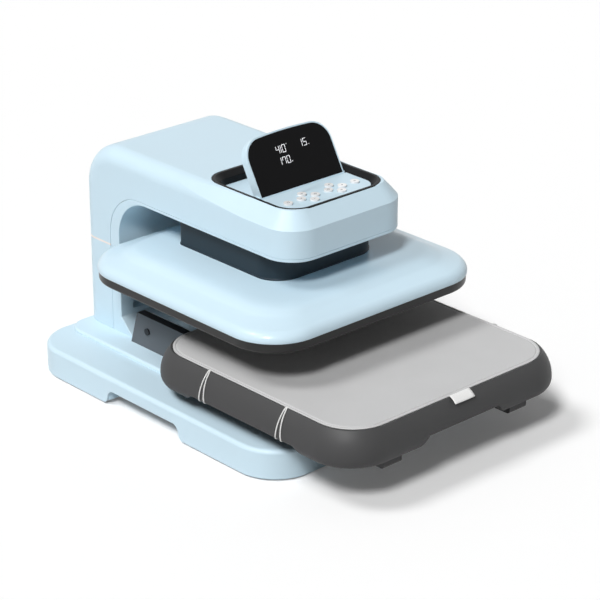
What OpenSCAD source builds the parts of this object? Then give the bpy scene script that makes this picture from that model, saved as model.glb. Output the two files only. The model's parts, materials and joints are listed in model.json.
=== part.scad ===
// Flat heat press: a powered head presses a heated plate on a pad that slides out on a drawer.
// Millimetres. +X is right, +Y to the rear, +Z up.
// The origin is on the table, under the middle of the base. The drawer is drawn pulled out.

/* [Base] */
// Width of the base
base_w = 420; // [412:1:440]
// Depth of the base
base_d = 514; // [508:1:530]
// Corner radius of the base in plan
base_corner_r = 62; // [50:1:70]
// Height of the base skirt
skirt_h = 42; // [36:1:48]
// Gap between the table and the skirt
foot_gap = 2; // [1.5:0.5:4]
// Rounding of the skirt's upper edge
base_edge_r = 6; // [4:0.5:8]
// Rounding of the skirt's lower edge
base_foot_r = 2; // [1:0.5:3]
// Wall of the base shell
base_wall = 4; // [3:0.5:5]
// Width of the raised deck
deck_w = 300; // [290:1:310]
// Height of the deck above the base top
deck_step = 5; // [4:0.5:6]
// Length of each hand grip under the skirt
grip_len = 151; // [130:1:160]
// Height of the hand grips
grip_h = 22; // [18:1:24]
// Depth of the hand grips
grip_deep = 24; // [18:1:28]
// Diameter of the rubber feet
foot_dia = 36; // [28:1:40]

/* [Stack] */
// Height of the slide bed
bed_h = 49; // [46:1:52]
// Room between the slide bed and the drawer
bed_clear = 1.5; // [1:0.1:3]
// Thickness of the drawer's top plate
tray_plate_t = 4; // [3:0.5:6]
// Thickness of the pressing pad
pad_t = 11.5; // [9:0.5:13]
// Gap from the pad up to the raised heat plate
press_gap = 54; // [52:1:58]
// Height of the heat plate's face below the cover's rim
rim_drop = 15; // [14:0.5:17]
// Height of the platen cover
cover_h = 31; // [29:1:34]
// Height of neck that shows under the head
neck_show = 42; // [38:1:44]
// Height of the arm
arm_h = 65; // [65:1:70]

/* [Column and arm] */
// Width of the column, arm and head
arm_w = 220; // [218:1:226]
// Depth of the column
column_d = 79; // [76:1:84]
// Distance from the column's back to the back of the base
column_inset = 6; // [5:1:10]
// Reach of the head in front of the column
arm_reach = 354; // [350:1:360]
// Corner radius of the head in plan
head_corner_r = 44; // [41:1:50]
// Rounding of the arm's long edges and of the column's back corners
arm_edge_r = 23; // [20:1:24]
// Height of the sloped band round the top of the head
head_bevel_h = 22; // [20:0.5:23]
// Width of the sloped band round the top of the head
head_bevel_in = 19.5; // [17:0.5:20]
// Radius of the bend at the top of the column
arm_rear_r = 65; // [58:1:65]
// Radius of the arch between column and arm
arch_r = 60; // [54:1:64]
// Width of the inner cover on the column's sides
rim_w = 19; // [16:1:22]
// Height of the inner cover on the arm's sides
rim_lip = 4; // [3.6:0.2:6]
// Wall of the covers
shell_wall = 3; // [2.4:0.2:3.4]
// Height of the pale band on the column
band_z = 177; // [170:1:182]
// Width of the pale band
band_h = 3; // [2:0.5:4]

/* [Platen] */
// Width of the platen cover
platen_w = 399; // [395:1:404]
// Depth of the platen cover
platen_d = 396; // [392:1:398]
// Corner radius of the platen cover
platen_corner_r = 70; // [66:1:74]
// Gap between the platen and the column
platen_gap = 19.2; // [18:0.2:22]
// Thickness of the heat plate
heat_t = 10; // [8:0.5:11]
// Width of the neck
neck_w = 190; // [188:1:191]
// Depth of the neck
neck_d = 198; // [194:1:200]
// Corner radius of the neck's front
neck_r = 37; // [34:1:42]
// Corner radius of the neck's rear
neck_rear_r = 8; // [6:0.5:10]
// Distance from the neck to the arch
neck_back = 52; // [50:0.5:55]

/* [Drawer] */
// Distance that the drawer is pulled out
drawer_out = 146.25; // [130:0.25:147]
// Width of the pad
pad_w = 380; // [376:1:382]
// Depth of the pad
pad_d = 377; // [374:1:379]
// Corner radius of the pad
pad_r = 56; // [52:1:60]
// Width of the drawer's edge outside the pad
tray_edge = 16; // [15:0.5:18]
// Height of the rim round the pad, above the top plate
tray_rim_h = 10.5; // [9.5:0.5:11]
// Height of the drawer's widest line under the rim
tray_bulge_drop = 36; // [33:1:38]
// Height of the drawer's corners under the widest line
tray_leg_drop = 11; // [9:1:12]
// Diameter of the elastic cord
cord_dia = 2; // [1.6:0.2:2.4]

/* [Console] */
// Width and depth of the console's bezel
bezel_w = 179; // [177:1:181]
// Corner radius of the bezel
bezel_r = 34; // [30:1:36]
// Width of the sloped ring in the bezel
bezel_ring = 12; // [11:0.5:13]
// Distance from the head's front to the bezel
bezel_inset = 19; // [18:0.5:20]
// Width of the folding display
display_w = 150; // [146:1:150]
// Length of the folding display
display_len = 81; // [76:1:82]
// Thickness of the folding display
display_t = 12.5; // [11:0.5:12.5]
// Tilt of the raised display
display_tilt = 60.5; // [45:0.5:75]
// Diameter of the keys
key_dia = 12.4; // [11:0.2:13]
// Travel of the keys
key_travel = 1; // [0.6:0.1:1.1]
// Distance of each key cluster from the middle
cluster_x = 24.4; // [23.5:0.1:25]
// Radius of each key cluster
cluster_r = 12.5; // [12:0.1:13]
// Distance of the single keys from the middle
single_x = 60; // [58:0.5:62]

/* [Drive] */
// Diameter of the lead screw
screw_dia = 16; // [14:1:18]
// Diameter of the guide rods
rod_dia = 12; // [10:1:14]
// Diameter of the pulley on the lead screw
screw_pulley_dia = 40; // [36:1:44]
// Diameter of the pulley on the motor
motor_pulley_dia = 20; // [18:1:24]
// Diameter of the motor
motor_dia = 42; // [36:1:44]
// Length of the motor
motor_len = 66; // [55:1:70]

/* [Hidden] */
$fn = 96;
body_blue = [0.72, 0.85, 0.92];
dark_grey = [0.27, 0.27, 0.28];
near_black = [0.08, 0.08, 0.09];
slate = [0.25, 0.31, 0.36];
steel = [0.62, 0.64, 0.66];
bare_alu = [0.78, 0.79, 0.80];
brass = [0.80, 0.66, 0.35];
pale = [0.94, 0.92, 0.91];
board_green = [0.10, 0.35, 0.22];

// Small amount by which cuts and joined blocks overrun
over = 1;
// Clearance round parts that are set into one another
fit_gap = 0.5;
// Radial clearance of sliding and turning fits
run_gap = 0.08;

// Width of the arm, never less than the neck and its sides take
neck_side = 15;
body_w = max(arm_w, neck_w + 2 * neck_side);

// Heights, from the table up
plate_t = 2;
plate_up = 5;
plate_z = foot_gap + plate_up;
plate_top = plate_z + plate_t;
strip_z = foot_gap + skirt_h;
deck_z = strip_z + deck_step;
bed_top = deck_z + bed_h;
tray_under = bed_top + bed_clear;
pad_seat = tray_under + tray_plate_t;
pad_top = pad_seat + pad_t;
heat_z = pad_top + press_gap;
rim_z = heat_z + rim_drop;
cover_top = rim_z + cover_h;
arm_under = cover_top + neck_show;
arm_top = arm_under + arm_h;
cloth_t = 1;
stroke = press_gap - cloth_t;

// Places, from front to rear
column_rear = base_d / 2 - column_inset;
column_front = column_rear - column_d;
head_front = column_front - arm_reach;
platen_y = column_front - platen_gap - platen_d / 2;
pad_y = platen_y - drawer_out;
bezel_y = head_front + bezel_inset + bezel_w / 2;
bend_y = column_rear - arm_rear_r;
bend_z = arm_top - arm_rear_r;
arch_y = column_front - arch_r;
arch_z = arm_under - arch_r;
neck_y = arch_y - neck_back - neck_d / 2;
rim_y = column_front + rim_w;
rim_arc_z = arch_z;
rim_arc_r = arm_under + rim_lip - rim_arc_z;

// Deck
deck_inset = 17;
deck_front = -base_d / 2 + deck_inset;
deck_rear = column_rear;
deck_d = deck_rear - deck_front;
deck_y = (deck_rear + deck_front) / 2;
deck_r = 30;
deck_land = 1;
deck_edge_r = deck_step - deck_land;
grip_y = 5.5;
grip_r = 12;
grip_flare = 12;
foot_in = 46;
foot_x = base_w / 2 - foot_in;
foot_y = base_d / 2 - foot_in;
foot_places = [[0, 0], [-foot_x, -foot_y], [foot_x, -foot_y], [foot_x, foot_y], [-foot_x, foot_y]];
boss_x = 160;
boss_y = 170;
boss_r = 7;
bolt_r = 2.5;
bolt_head_r = 5;
bolt_head_h = 2;
bolt_bite = 10;
post_gap = 5;
post_side = 3;
post_rear = 2;

// Sloped band of the head: even for a while, then fading into the rounded edge
bevel_slope = head_bevel_in / head_bevel_h;
bevel_straight = 50;
bevel_reach = 150;
bevel_lead = 5;
bevel_fade = 3;

// Steel frame
frame_t = 5;
frame_pad = 4;
frame_x = body_w / 2 - shell_wall - frame_pad;
frame_setback = 72;
frame_in = 11;
frame_in_rear = 13;
frame_in_top = 22;
frame_bend_up = 8;
frame_bend_back = 29;
frame_front = head_front + frame_setback;
frame_col_y = column_front + frame_in;
frame_rear = column_rear - frame_in_rear;
frame_arm_z = arm_under + frame_in;
frame_arm_top = arm_top - frame_in_top;
frame_bend_z = bend_z + frame_bend_up;
frame_bend_y = bend_y + frame_bend_back;
pad_size = 12;
pad_in = 8;
pad_step = 20;
arm_pads = [[frame_front + pad_step, frame_arm_z + pad_size], [arch_y, frame_arm_z + pad_size],
    [frame_rear - pad_in, band_z + pad_step]];
column_pads = [[frame_rear - pad_in, band_z - pad_step], [frame_rear - pad_in, deck_z + pad_step]];
front_pads = [deck_z + pad_step, band_z - pad_step];
liner_pad_z = band_z + pad_in;
floor_pads = [frame_front + pad_in, arch_y - pad_in];
drive_plate_t = 5;
drive_up = 28;
drive_in_front = 2;
drive_in_rear = 21;
drive_z = arm_under + drive_up;
drive_top = drive_z + drive_plate_t;
drive_front = neck_y - neck_d / 2 + drive_in_front;
drive_rear = column_rear - drive_in_rear;

// Press drive
neck_wall = 3;
neck_gap = 1.5;
neck_foot = 1;
neck_foot_h = 2.5;
neck_room = 4;
neck_top = drive_z - neck_room;
shroud_gap = 1;
shroud_wall = 2;
shroud_w = neck_w - 2 * (neck_wall + shroud_gap);
shroud_d = neck_d - 2 * (neck_wall + shroud_gap);
shroud_r = neck_r - neck_wall - shroud_gap;
shroud_room = 4;
shroud_z = cover_top + shroud_room;
cross_gap = 3;
cross_w = shroud_w - 2 * (shroud_wall + cross_gap);
cross_d = shroud_d - 2 * (shroud_wall + cross_gap);
cross_r = shroud_r - shroud_wall - cross_gap;
cross_t = 6;
cross_room = 7;
cross_top = drive_z - cross_room;
cross_z = cross_top - cross_t;
rod_x = 62;
rod_y = 70;
rod_room = 2;
rod_z = cover_top + rod_room;
bush_wall = 4;
bush_r = rod_dia / 2 + bush_wall;
bush_h = 14;
bush_up = 2;
bush_top = cross_top + bush_up;
nut_wall = 6;
nut_r = screw_dia / 2 + nut_wall;
nut_h = 16;
nut_clear = 0.3;
ram_room = 4;
ram_wall = 6;
ram_bore_r = nut_r + ram_room;
ram_r = ram_bore_r + ram_wall;
journal_r = 5;
pulley_gap = 1;
pulley_z = drive_top + pulley_gap;
pulley_h = 9;
belt_t = 1.5;
belt_h = 6;
belt_gap = 0.4;
motor_in = 46;
motor_y = column_rear - motor_in;
motor_flange_t = 4;
motor_shaft_r = 4;
motor_hole_gap = 4;
motor_hole_r = motor_shaft_r + motor_hole_gap;

// Platen
cover_wall = 3;
cover_edge_r = 14;
cover_skirt = 2;
cover_lower_rise = cover_edge_r + cover_skirt;
cover_band_1 = 30;
cover_band_2 = 50;
cover_slope = 4;
cover_mid_z = rim_z + cover_lower_rise + cover_slope;
ring_inset = 1.5;
heat_show = 1;
ring_under = rim_drop - heat_show;
ring_wall = 7.5;
ring_over = 2;
ring_edge_r = 4;
heat_gap = 1.5;
ring_in_w = platen_w - 2 * (ring_inset + ring_wall);
ring_in_d = platen_d - 2 * (ring_inset + ring_wall);
ring_in_r = platen_corner_r - ring_inset - ring_wall;
heat_top = heat_z + heat_t;
element_h = 8;
element_rows = 6;
element_pitch = 60;
element_len = 240;
board_t = 8;
board_margin = 30;
board_round = 25;
board_w = platen_w - 2 * board_margin;
board_d = platen_d - 2 * board_margin;
board_r = platen_corner_r - board_round;
board_z = heat_top + element_h;
top_plate_t = 6;
top_plate_gap = 1;
top_plate_z = cover_top - cover_wall - top_plate_t - top_plate_gap;
top_plate_w = 240;
top_plate_d = 160;
top_plate_r = 20;
stud_x = 100;
stud_y = 60;
stud_r = 8;

// Drawer
tray_w = pad_w + 2 * tray_edge;
tray_trim = 4;
tray_round = 9;
tray_d = pad_d + 2 * tray_edge - tray_trim;
tray_r = pad_r + tray_round;
tray_rim_z = pad_seat + tray_rim_h;
tray_bulge_z = tray_rim_z - tray_bulge_drop;
tray_leg_z = tray_bulge_z - tray_leg_drop;
tray_lip = 1.5;
tray_lean = tray_edge - tray_lip;
tray_tuck = 4;
tray_wall = 6;
tray_in_w = pad_w + 4 * tray_lip;
tray_in_d = pad_d + 4 * tray_lip - tray_trim;
side_cut_len = 210;
cut_slope = 12;
side_cut_drop = 3;
side_cut_z = tray_bulge_z - side_cut_drop;
pull_len = 140;
pull_up = 2;
pull_z = tray_bulge_z + pull_up;
bed_open = 6;
bed_w = 236;
bed_wall = 13;
bed_in = bed_w / 2 - bed_wall;
bed_slope = 15;
bed_back = 31;
bed_rear_low = column_front - bed_back;
bed_rear_top = bed_rear_low - bed_slope;
bed_lead = 185;
bed_front = pad_y - pad_d / 2 + bed_lead;
bed_floor_t = 4;
bed_screw_front = 40;
bed_screw_rear = 22;
bed_screw_y = [bed_front + bed_screw_front, bed_rear_top - bed_screw_rear];
bed_floor_back = 58;
bed_floor_rear = bed_rear_top - bed_floor_back;
glide_x = 116;
glide_w = 32;
glide_r = 5;
glide_d = 30;
glide_gap = 1;
glide_in = 0;
glide_z = deck_z + glide_gap;
glide_front = pad_y - pad_d / 2 + glide_in;
rail_h = 34;
rail_deep = 10;
rail_t = 1.5;
rail_mid = (deck_z + bed_floor_t + bed_top) / 2;
rail_in_front = 4;
rail_in_rear = 6;
rail_front = bed_front + rail_in_front;
rail_rear = bed_rear_top - rail_in_rear;
runner_gap = 0.3;
runner_in_front = 6;
runner_in_rear = 2;
runner_front = rail_front + runner_in_front;
runner_rear = pad_y + pad_d / 2 - runner_in_rear;
runner_t = 6;
hanger_t = 4;
ramp_len = 25;
ramp_h = 25;
cord_y = [76, -73];
cord_spread = 5;
cord_sides = 8;
cord_steps = 7;
tag_w = 36;
tag_h = 13;
tag_t = 0.8;
tag_x = 2;
tag_gap = 0.4;
tag_lean = 50;
core_in = 4;
pad_skin = 3;
core_t = pad_t - pad_skin;
pad_edge_r = 2.5;

// Console
bezel_drop = 0;
dish_drop = 7;
console_drop = 20;
bezel_top = arm_top - bezel_drop;
dish_z = bezel_top - dish_drop;
console_z = arm_top - console_drop;
console_t = 2;
console_top = console_z + console_t;
well_t = 2;
well_floor = console_top + well_t;
key_panel_t = 4;
key_panel_up = 1;
key_panel_z = dish_z + key_panel_up;
key_panel_w = bezel_w - 2 * bezel_ring;
key_panel_r = bezel_r - bezel_ring;
key_panel_front = bezel_y - bezel_w / 2 + bezel_ring + fit_gap;
hinge_r = display_t / 2;
hinge_gap = 0.75;
hinge_z = well_floor + hinge_r + hinge_gap;
hinge_room = 5.25;
hinge_y = bezel_y + bezel_w / 2 - bezel_ring - display_len - hinge_room;
hinge_slit = 0.8;
key_forward = 4;
key_panel_rear = hinge_y - hinge_r - hinge_slit;
key_y = (key_panel_rear + key_panel_front) / 2 - key_forward;
key_gap = 0.3;
key_flange = 1.1;
key_flange_t = 1.7;
key_up = 2;
key_top = key_panel_z + key_up;
key_under = key_panel_z - key_panel_t;
control_t = 2.6;
board_top = console_top + control_t;
board_in = 7;
board_post_r = 3;
board_root = 0.5;
post_in = 8;
post_out = 4;
board_posts = [[2 * cluster_x, key_panel_front + post_in], [single_x + post_out, key_panel_rear - post_in]];
lug_in = 5;
lug_len = 60;
lug_front = frame_front + lug_in;
lug_rear = lug_front + lug_len;
switch_gap = 0.1;
switch_top = key_under - key_flange_t - key_travel - switch_gap;
pin_r = 2;
ear_t = 1.8;
ear_r = 4.5;
bezel_lip = 4;
glass_t = 1.5;
glass_in = 2;
display_r = 30;
display_arc_r = 700;
display_mid = display_w / 2 - display_r;
display_crown = display_arc_r - display_r - sqrt(pow(display_arc_r - display_r, 2) - pow(display_mid, 2));

// Rear panel
panel_w = 160;
panel_up = 11;
panel_drop = 9;
panel_low = deck_z + panel_up;
panel_high = band_z - panel_drop;
panel_lip = 5;
inlet_x = -34;
inlet_up = 24;
inlet_z = panel_low + inlet_up;
inlet_w = 30;
inlet_h = 22;
inlet_deep = 20;
inlet_flange = 5;
inlet_flange_t = 2.5;
inlet_wall = 2.5;
blade_w = 2;
blade_h = 4;
blade_in = 5;
blade_places = [[-7, -2.5], [0, 2.5], [7, -2.5]];
switch_x = 34;
switch_w = 15;
switch_h = 21;
rocker_tilt = 8;
rocker_r = 20;
switch_lip = 2;
switch_wall = 1.5;
switch_end = 1;
switch_back = 3;
rocker_in = 4;
rocker_y = column_rear - rocker_in;
rocker_pin_r = 1.5;
rocker_pin_gap = 0.3;
rocker_side = switch_wall + fit_gap;
rocker_rear = 3;
rocker_deep = 8;
rocker_h = 16;
rocker_dish = 4;
panel_screw_in = 8;
panel_screw_x = panel_w / 2 - panel_screw_in;
panel_screw_z = [panel_low + panel_screw_in, panel_high - panel_screw_in];
vent_rows = 7;
vent_pitch = 7;
vent_w = 90;
vent_h = 3;
vent_drop = 12;
mains_in = 36;
mains_up = 64;
vent_top = panel_high - vent_drop;
mains_y = column_rear - mains_in;
mains_z = deck_z + mains_up;
mains_t = 1.6;
mains_low = -12;
mains_high = 50;
mains_blocks = [[[-50, 0, -6], [-15, 24, 26]], [[-5, 0, 0], [25, 16, 20]]];
can_x = [40, 60];
can_z = 12;
can_r = 8;
can_len = 22;
recess_w = 176;
recess_up = 32;
recess_low = deck_z + recess_up;
recess_h = 70;
recess_deep = 18;

// Rounded rectangle round the origin
module rrect(w, d, r) {
    square([w - 2 * r, d], center = true);
    square([w, d - 2 * r], center = true);
    for (x = [-1, 1], y = [-1, 1])
        translate([x * (w / 2 - r), y * (d / 2 - r)])
            circle(r);
}

// Upright prism on a rounded rectangle
module prism(w, d, r, z0, z1) {
    translate([0, 0, z0])
        linear_extrude(z1 - z0)
            rrect(w, d, r);
}

// Upright tube on a rounded rectangle
module frame_tube(w, d, r, wall, z0, z1) {
    translate([0, 0, z0])
        linear_extrude(z1 - z0)
            difference() {
                rrect(w, d, r);
                rrect(w - 2 * wall, d - 2 * wall, r - wall);
            }
}

// A wall profile carried round a rounded rectangle, with its middle filled.
// The profile starts at the axis of the corners.
module swept(w, d, r, z0, z1) {
    core_w = w - 2 * r;
    core_d = d - 2 * r;
    translate([-core_w / 2, -core_d / 2, z0])
        cube([core_w, core_d, z1 - z0]);
    for (mx = [0, 1])
        mirror([mx, 0, 0]) {
            translate([core_w / 2, core_d / 2, 0])
                rotate([90, 0, 0])
                    linear_extrude(core_d)
                        children();
            for (my = [0, 1])
                mirror([0, my, 0])
                    translate([core_w / 2, core_d / 2, 0])
                        rotate_extrude(angle = 90)
                            children();
        }
    for (my = [0, 1])
        mirror([0, my, 0])
            translate([-core_w / 2, core_d / 2, 0])
                rotate([90, 0, 90])
                    linear_extrude(core_w)
                        children();
}

// Straight wall with rounded upper and lower edges
module edge_profile(s, z0, z1, upper_r, lower_r) {
    translate([0, z0])
        square([s - max(upper_r, lower_r), z1 - z0]);
    translate([0, z0 + lower_r])
        square([s, z1 - z0 - lower_r - upper_r]);
    if (upper_r > 0) {
        translate([0, z1 - 2 * upper_r])
            square([s - upper_r, 2 * upper_r]);
        intersection() {
            translate([s - upper_r, z1 - upper_r])
                circle(upper_r);
            translate([0, z0])
                square([s, z1 - z0]);
        }
    }
    if (lower_r > 0) {
        translate([0, z0])
            square([s - lower_r, 2 * lower_r]);
        translate([s - lower_r, z0 + lower_r])
            circle(lower_r);
    }
}

module soft_slab(w, d, r, z0, z1, upper_r, lower_r) {
    swept(w, d, r, z0, z1)
        edge_profile(r, z0, z1, upper_r, lower_r);
}

// Box between two corners
module span(a, b) {
    translate(a)
        cube([b[0] - a[0], b[1] - a[1], b[2] - a[2]]);
}

// Copies on both sides of the middle plane
module both_sides() {
    for (mx = [0, 1])
        mirror([mx, 0, 0])
            children();
}

// Extrusion along X of an outline in Y and Z
module across(x0, x1) {
    translate([x0, 0, 0])
        rotate([90, 0, 90])
            linear_extrude(x1 - x0)
                children();
}

// Cylinder along X
module bar_x(x0, x1, r) {
    translate([x0, 0, 0])
        rotate([0, 90, 0])
            cylinder(h = x1 - x0, r = r);
}

// Cylinder along Y
module bar_y(y0, y1, r) {
    translate([0, y0, 0])
        rotate([-90, 0, 0])
            cylinder(h = y1 - y0, r = r);
}

// Base

module grip_outline(grow) {
    translate([grip_y, foot_gap])
        rrect(grip_len + 2 * grow, 2 * (grip_h + grow), grip_r);
}

// Rounded lower corners of the skirt at the ends of a hand grip
module grip_flares() {
    for (m = [0, 1])
        translate([grip_y, foot_gap])
            mirror([m, 0])
                translate([grip_len / 2, 0])
                    difference() {
                        translate([-over, -over])
                            square(grip_flare + over);
                        translate([grip_flare, grip_flare])
                            circle(grip_flare);
                    }
}

module base_shell() {
    color(body_blue)
        difference() {
            union() {
                difference() {
                    union() {
                        soft_slab(base_w, base_d, base_corner_r, foot_gap, strip_z,
                            base_edge_r, base_foot_r);
                        translate([0, deck_y, 0])
                            soft_slab(deck_w, deck_d, deck_r, strip_z - base_wall, deck_z, deck_edge_r, 0);
                    }
                    prism(base_w - 2 * base_wall, base_d - 2 * base_wall, base_corner_r - base_wall,
                        foot_gap - over, strip_z - base_wall);
                    translate([0, deck_y, 0])
                        prism(deck_w - 2 * base_wall, deck_d - 2 * base_wall, deck_r - base_wall,
                            foot_gap - over, deck_z - base_wall);
                }
                both_sides()
                    intersection() {
                        across(base_w / 2 - grip_deep - base_wall, base_w / 2 - base_wall / 2)
                            grip_outline(base_wall);
                        span([0, -base_d, plate_z], [base_w, base_d, strip_z]);
                    }
                both_sides()
                    for (y = [-boss_y, boss_y])
                        translate([boss_x, y, plate_top])
                            cylinder(h = strip_z - base_wall / 2 - plate_top, r = boss_r);
            }
            both_sides()
                across(base_w / 2 - grip_deep, base_w / 2 + over)
                    grip_outline(0);
            both_sides()
                across(base_w / 2 - base_wall, base_w / 2 + over)
                    grip_flares();
            both_sides()
                for (y = [-boss_y, boss_y])
                    translate([boss_x, y, plate_top - over])
                        cylinder(h = skirt_h / 2, r = bolt_r);
            span([-frame_x - post_side, frame_col_y - post_gap, strip_z - base_wall - over],
                [frame_x + post_side, frame_rear + post_rear, deck_z + over]);
        }
}

module base_plate() {
    edge = base_wall + fit_gap;
    color(steel)
        difference() {
            prism(base_w - 2 * edge, base_d - 2 * edge, base_corner_r - edge, plate_z, plate_top);
            both_sides()
                span([base_w / 2 - grip_deep - edge, grip_y - grip_len / 2 - edge, plate_z - over],
                    [base_w / 2, grip_y + grip_len / 2 + edge, plate_top + over]);
            both_sides()
                for (y = [-boss_y, boss_y])
                    translate([boss_x, y, plate_z - over])
                        cylinder(h = plate_t + 2 * over, r = bolt_r);
        }
}

module base_feet() {
    color(near_black)
        for (p = foot_places)
            translate([p[0], p[1], 0])
                cylinder(h = plate_z, r = foot_dia / 2);
}

// Steel frame

module frame_plates() {
    color(steel)
        both_sides()
            across(frame_x - frame_t, frame_x)
                polygon([[frame_col_y, plate_top], [frame_rear, plate_top], [frame_rear, frame_bend_z],
                    [frame_bend_y, frame_arm_top], [frame_front, frame_arm_top], [frame_front, frame_arm_z],
                    [frame_col_y, frame_arm_z]]);
}

module drive_plate() {
    color(steel)
        difference() {
            span([-frame_x + frame_t, drive_front, drive_z], [frame_x - frame_t, drive_rear, drive_top]);
            translate([0, platen_y, drive_z - over])
                cylinder(h = drive_plate_t + 2 * over, r = journal_r + run_gap);
            translate([0, motor_y, drive_z - over])
                cylinder(h = drive_plate_t + 2 * over, r = motor_hole_r);
        }
}

// Covers of the column, arm and head

// Height of the sloped band's lower edge on a body drawn in by the given amount
function bevel_low(inset) =
    arm_top - head_bevel_h - inset * (sqrt(1 + bevel_slope * bevel_slope) - 1) / bevel_slope;

// Room outside the sloped band, in profile
module bevel_room(x, low, slope) {
    high = arm_top + over;
    polygon([[x, low], [x + head_bevel_h, low], [x + head_bevel_h, high], [x - slope * (high - low), high]]);
}

// Edge of the head in profile
module head_profile(r, z0, z1, upper_r, low) {
    difference() {
        edge_profile(r, z0, z1, upper_r, 0);
        bevel_room(r, low, bevel_slope);
    }
}

// Slab with rounded front corners, a flat back and a rounded upper edge, sloped round the front
module nose_slab(w, y0, y1, r, z0, z1, upper_r, low) {
    core_w = w - 2 * r;
    band_y = y0 + r + bevel_straight;
    span([-core_w / 2, y0 + r, z0], [core_w / 2, y1, z1]);
    both_sides() {
        translate([core_w / 2, band_y, 0])
            rotate([90, 0, 0])
                linear_extrude(bevel_straight)
                    head_profile(r, z0, z1, upper_r, low);
        difference() {
            translate([core_w / 2, y1, 0])
                rotate([90, 0, 0])
                    linear_extrude(y1 - band_y)
                        edge_profile(r, z0, z1, upper_r, 0);
            translate([w / 2, band_y, 0])
                rotate([0, 0, -bevel_fade])
                    translate([0, bevel_reach, 0])
                        rotate([90, 0, 0])
                            linear_extrude(bevel_reach + bevel_lead)
                                bevel_room(0, low, bevel_slope * cos(bevel_fade));
        }
        mirror([0, 1, 0])
            translate([core_w / 2, -y0 - r, 0])
                rotate_extrude(angle = 90)
                    head_profile(r, z0, z1, upper_r, low);
    }
    mirror([0, 1, 0])
        translate([-core_w / 2, -y0 - r, 0])
            rotate([90, 0, 90])
                linear_extrude(core_w)
                    head_profile(r, z0, z1, upper_r, low);
}

// Half of a rounded bar, for the bend at the top of the column
module bend_profile(reach, w, r) {
    translate([0, -w / 2 + r])
        square([reach, w - 2 * r]);
    translate([0, -w / 2])
        square([reach - r, w]);
    for (s = [-1, 1])
        translate([reach - r, s * (w / 2 - r)])
            circle(r);
}

// Column, arch, arm and head as one body, drawn in by the given amount
module c_body(inset, z_low) {
    w = body_w - 2 * inset;
    r = arm_edge_r - inset;
    nose_slab(w, head_front + inset, bend_y, head_corner_r - inset, arm_under + inset, arm_top - inset, r,
        bevel_low(inset));
    translate([0, bend_y, bend_z])
        rotate([0, 90, 0])
            rotate([0, 0, 90])
                rotate_extrude(angle = 90)
                    bend_profile(arm_rear_r - inset, w, r);
    translate([0, 0, z_low])
        linear_extrude(bend_z - z_low) {
            translate([-w / 2, column_front + inset])
                square([w, column_d - 2 * inset - r]);
            translate([-w / 2 + r, column_front + inset])
                square([w - 2 * r, column_d - 2 * inset]);
            for (s = [-1, 1])
                translate([s * (w / 2 - r), column_rear - inset - r])
                    circle(r);
        }
    across(-w / 2, w / 2)
        difference() {
            translate([arch_y, arch_z])
                square([bend_y - arch_y, arm_under + inset - arch_z]);
            translate([arch_y, arch_z])
                circle(arch_r + inset);
        }
}

module c_shell() {
    difference() {
        c_body(0, deck_z);
        c_body(shell_wall, deck_z - over);
    }
}

// The inner cover's side of the panel line, in Y and Z
module rim_region(grow) {
    far = base_d;
    translate([-far, 0])
        square([far + rim_y + grow, rim_arc_z]);
    translate([-far, 0])
        square([far + rim_y - rim_arc_r, arm_under + rim_lip + grow]);
    translate([rim_y - rim_arc_r, rim_arc_z])
        circle(rim_arc_r + grow);
}

// Pads that carry a cover on the steel frame
module side_pads(places) {
    both_sides()
        for (p = places)
            span([frame_x, p[0] - pad_size / 2, p[1] - pad_size / 2],
                [body_w / 2 - shell_wall / 2, p[0] + pad_size / 2, p[1] + pad_size / 2]);
}

module arm_cover() {
    color(body_blue) {
        difference() {
            c_shell();
            across(-body_w, body_w)
                rim_region(fit_gap);
            span([-body_w, column_front, 0], [body_w, base_d, band_z + band_h]);
            translate([0, bezel_y, 0])
                prism(bezel_w + 2 * fit_gap, bezel_w + 2 * fit_gap, bezel_r + fit_gap,
                    arm_under, arm_top + over);
        }
        side_pads(arm_pads);
    }
}

module column_cover() {
    color(body_blue) {
        difference() {
            c_shell();
            across(-body_w, body_w)
                rim_region(fit_gap);
            span([-body_w, -base_d, band_z], [body_w, base_d, arm_top + over]);
            span([-panel_w / 2 - fit_gap, column_rear - 2 * shell_wall, panel_low - fit_gap],
                [panel_w / 2 + fit_gap, column_rear + over, panel_high + fit_gap]);
        }
        side_pads(column_pads);
    }
}

module seam_band() {
    color(pale)
        difference() {
            intersection() {
                c_shell();
                span([-body_w, 0, band_z], [body_w, base_d, band_z + band_h]);
            }
            across(-body_w, body_w)
                rim_region(fit_gap);
        }
}

// Inner cover between two heights
module liner_shell(z0, z1) {
    intersection() {
        c_shell();
        across(-body_w, body_w)
            rim_region(0);
        span([-body_w, arch_y, z0], [body_w, base_d, z1]);
    }
}

// Pad that carries the inner cover on the steel frame
module liner_pad(z) {
    both_sides()
        span([frame_x, frame_col_y, z], [body_w / 2 - shell_wall / 2, rim_y, z + pad_size]);
}

module throat_liner() {
    color(body_blue) {
        liner_shell(band_z, arm_top);
        liner_pad(liner_pad_z);
    }
}

module column_front() {
    color(body_blue)
        difference() {
            union() {
                liner_shell(0, band_z - fit_gap);
                for (z = front_pads)
                    liner_pad(z);
                across(-body_w / 2, body_w / 2)
                    polygon([[column_front - ramp_len, deck_z], [column_front, deck_z],
                        [column_front, deck_z + ramp_h]]);
                span([-recess_w / 2 - shell_wall, column_front + shell_wall / 2, recess_low - shell_wall],
                    [recess_w / 2 + shell_wall, column_front + recess_deep,
                        recess_low + recess_h + shell_wall]);
            }
            span([-recess_w / 2, column_front - over, recess_low],
                [recess_w / 2, column_front + recess_deep - shell_wall, recess_low + recess_h]);
        }
}

// Outline of the neck, grown by the given amount
module neck_outline(grow) {
    w = neck_w + 2 * grow;
    d = neck_d + 2 * grow;
    rrect(w, d, neck_r + grow);
    translate([0, d / 4])
        rrect(w, d / 2, neck_rear_r + grow);
}

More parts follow.
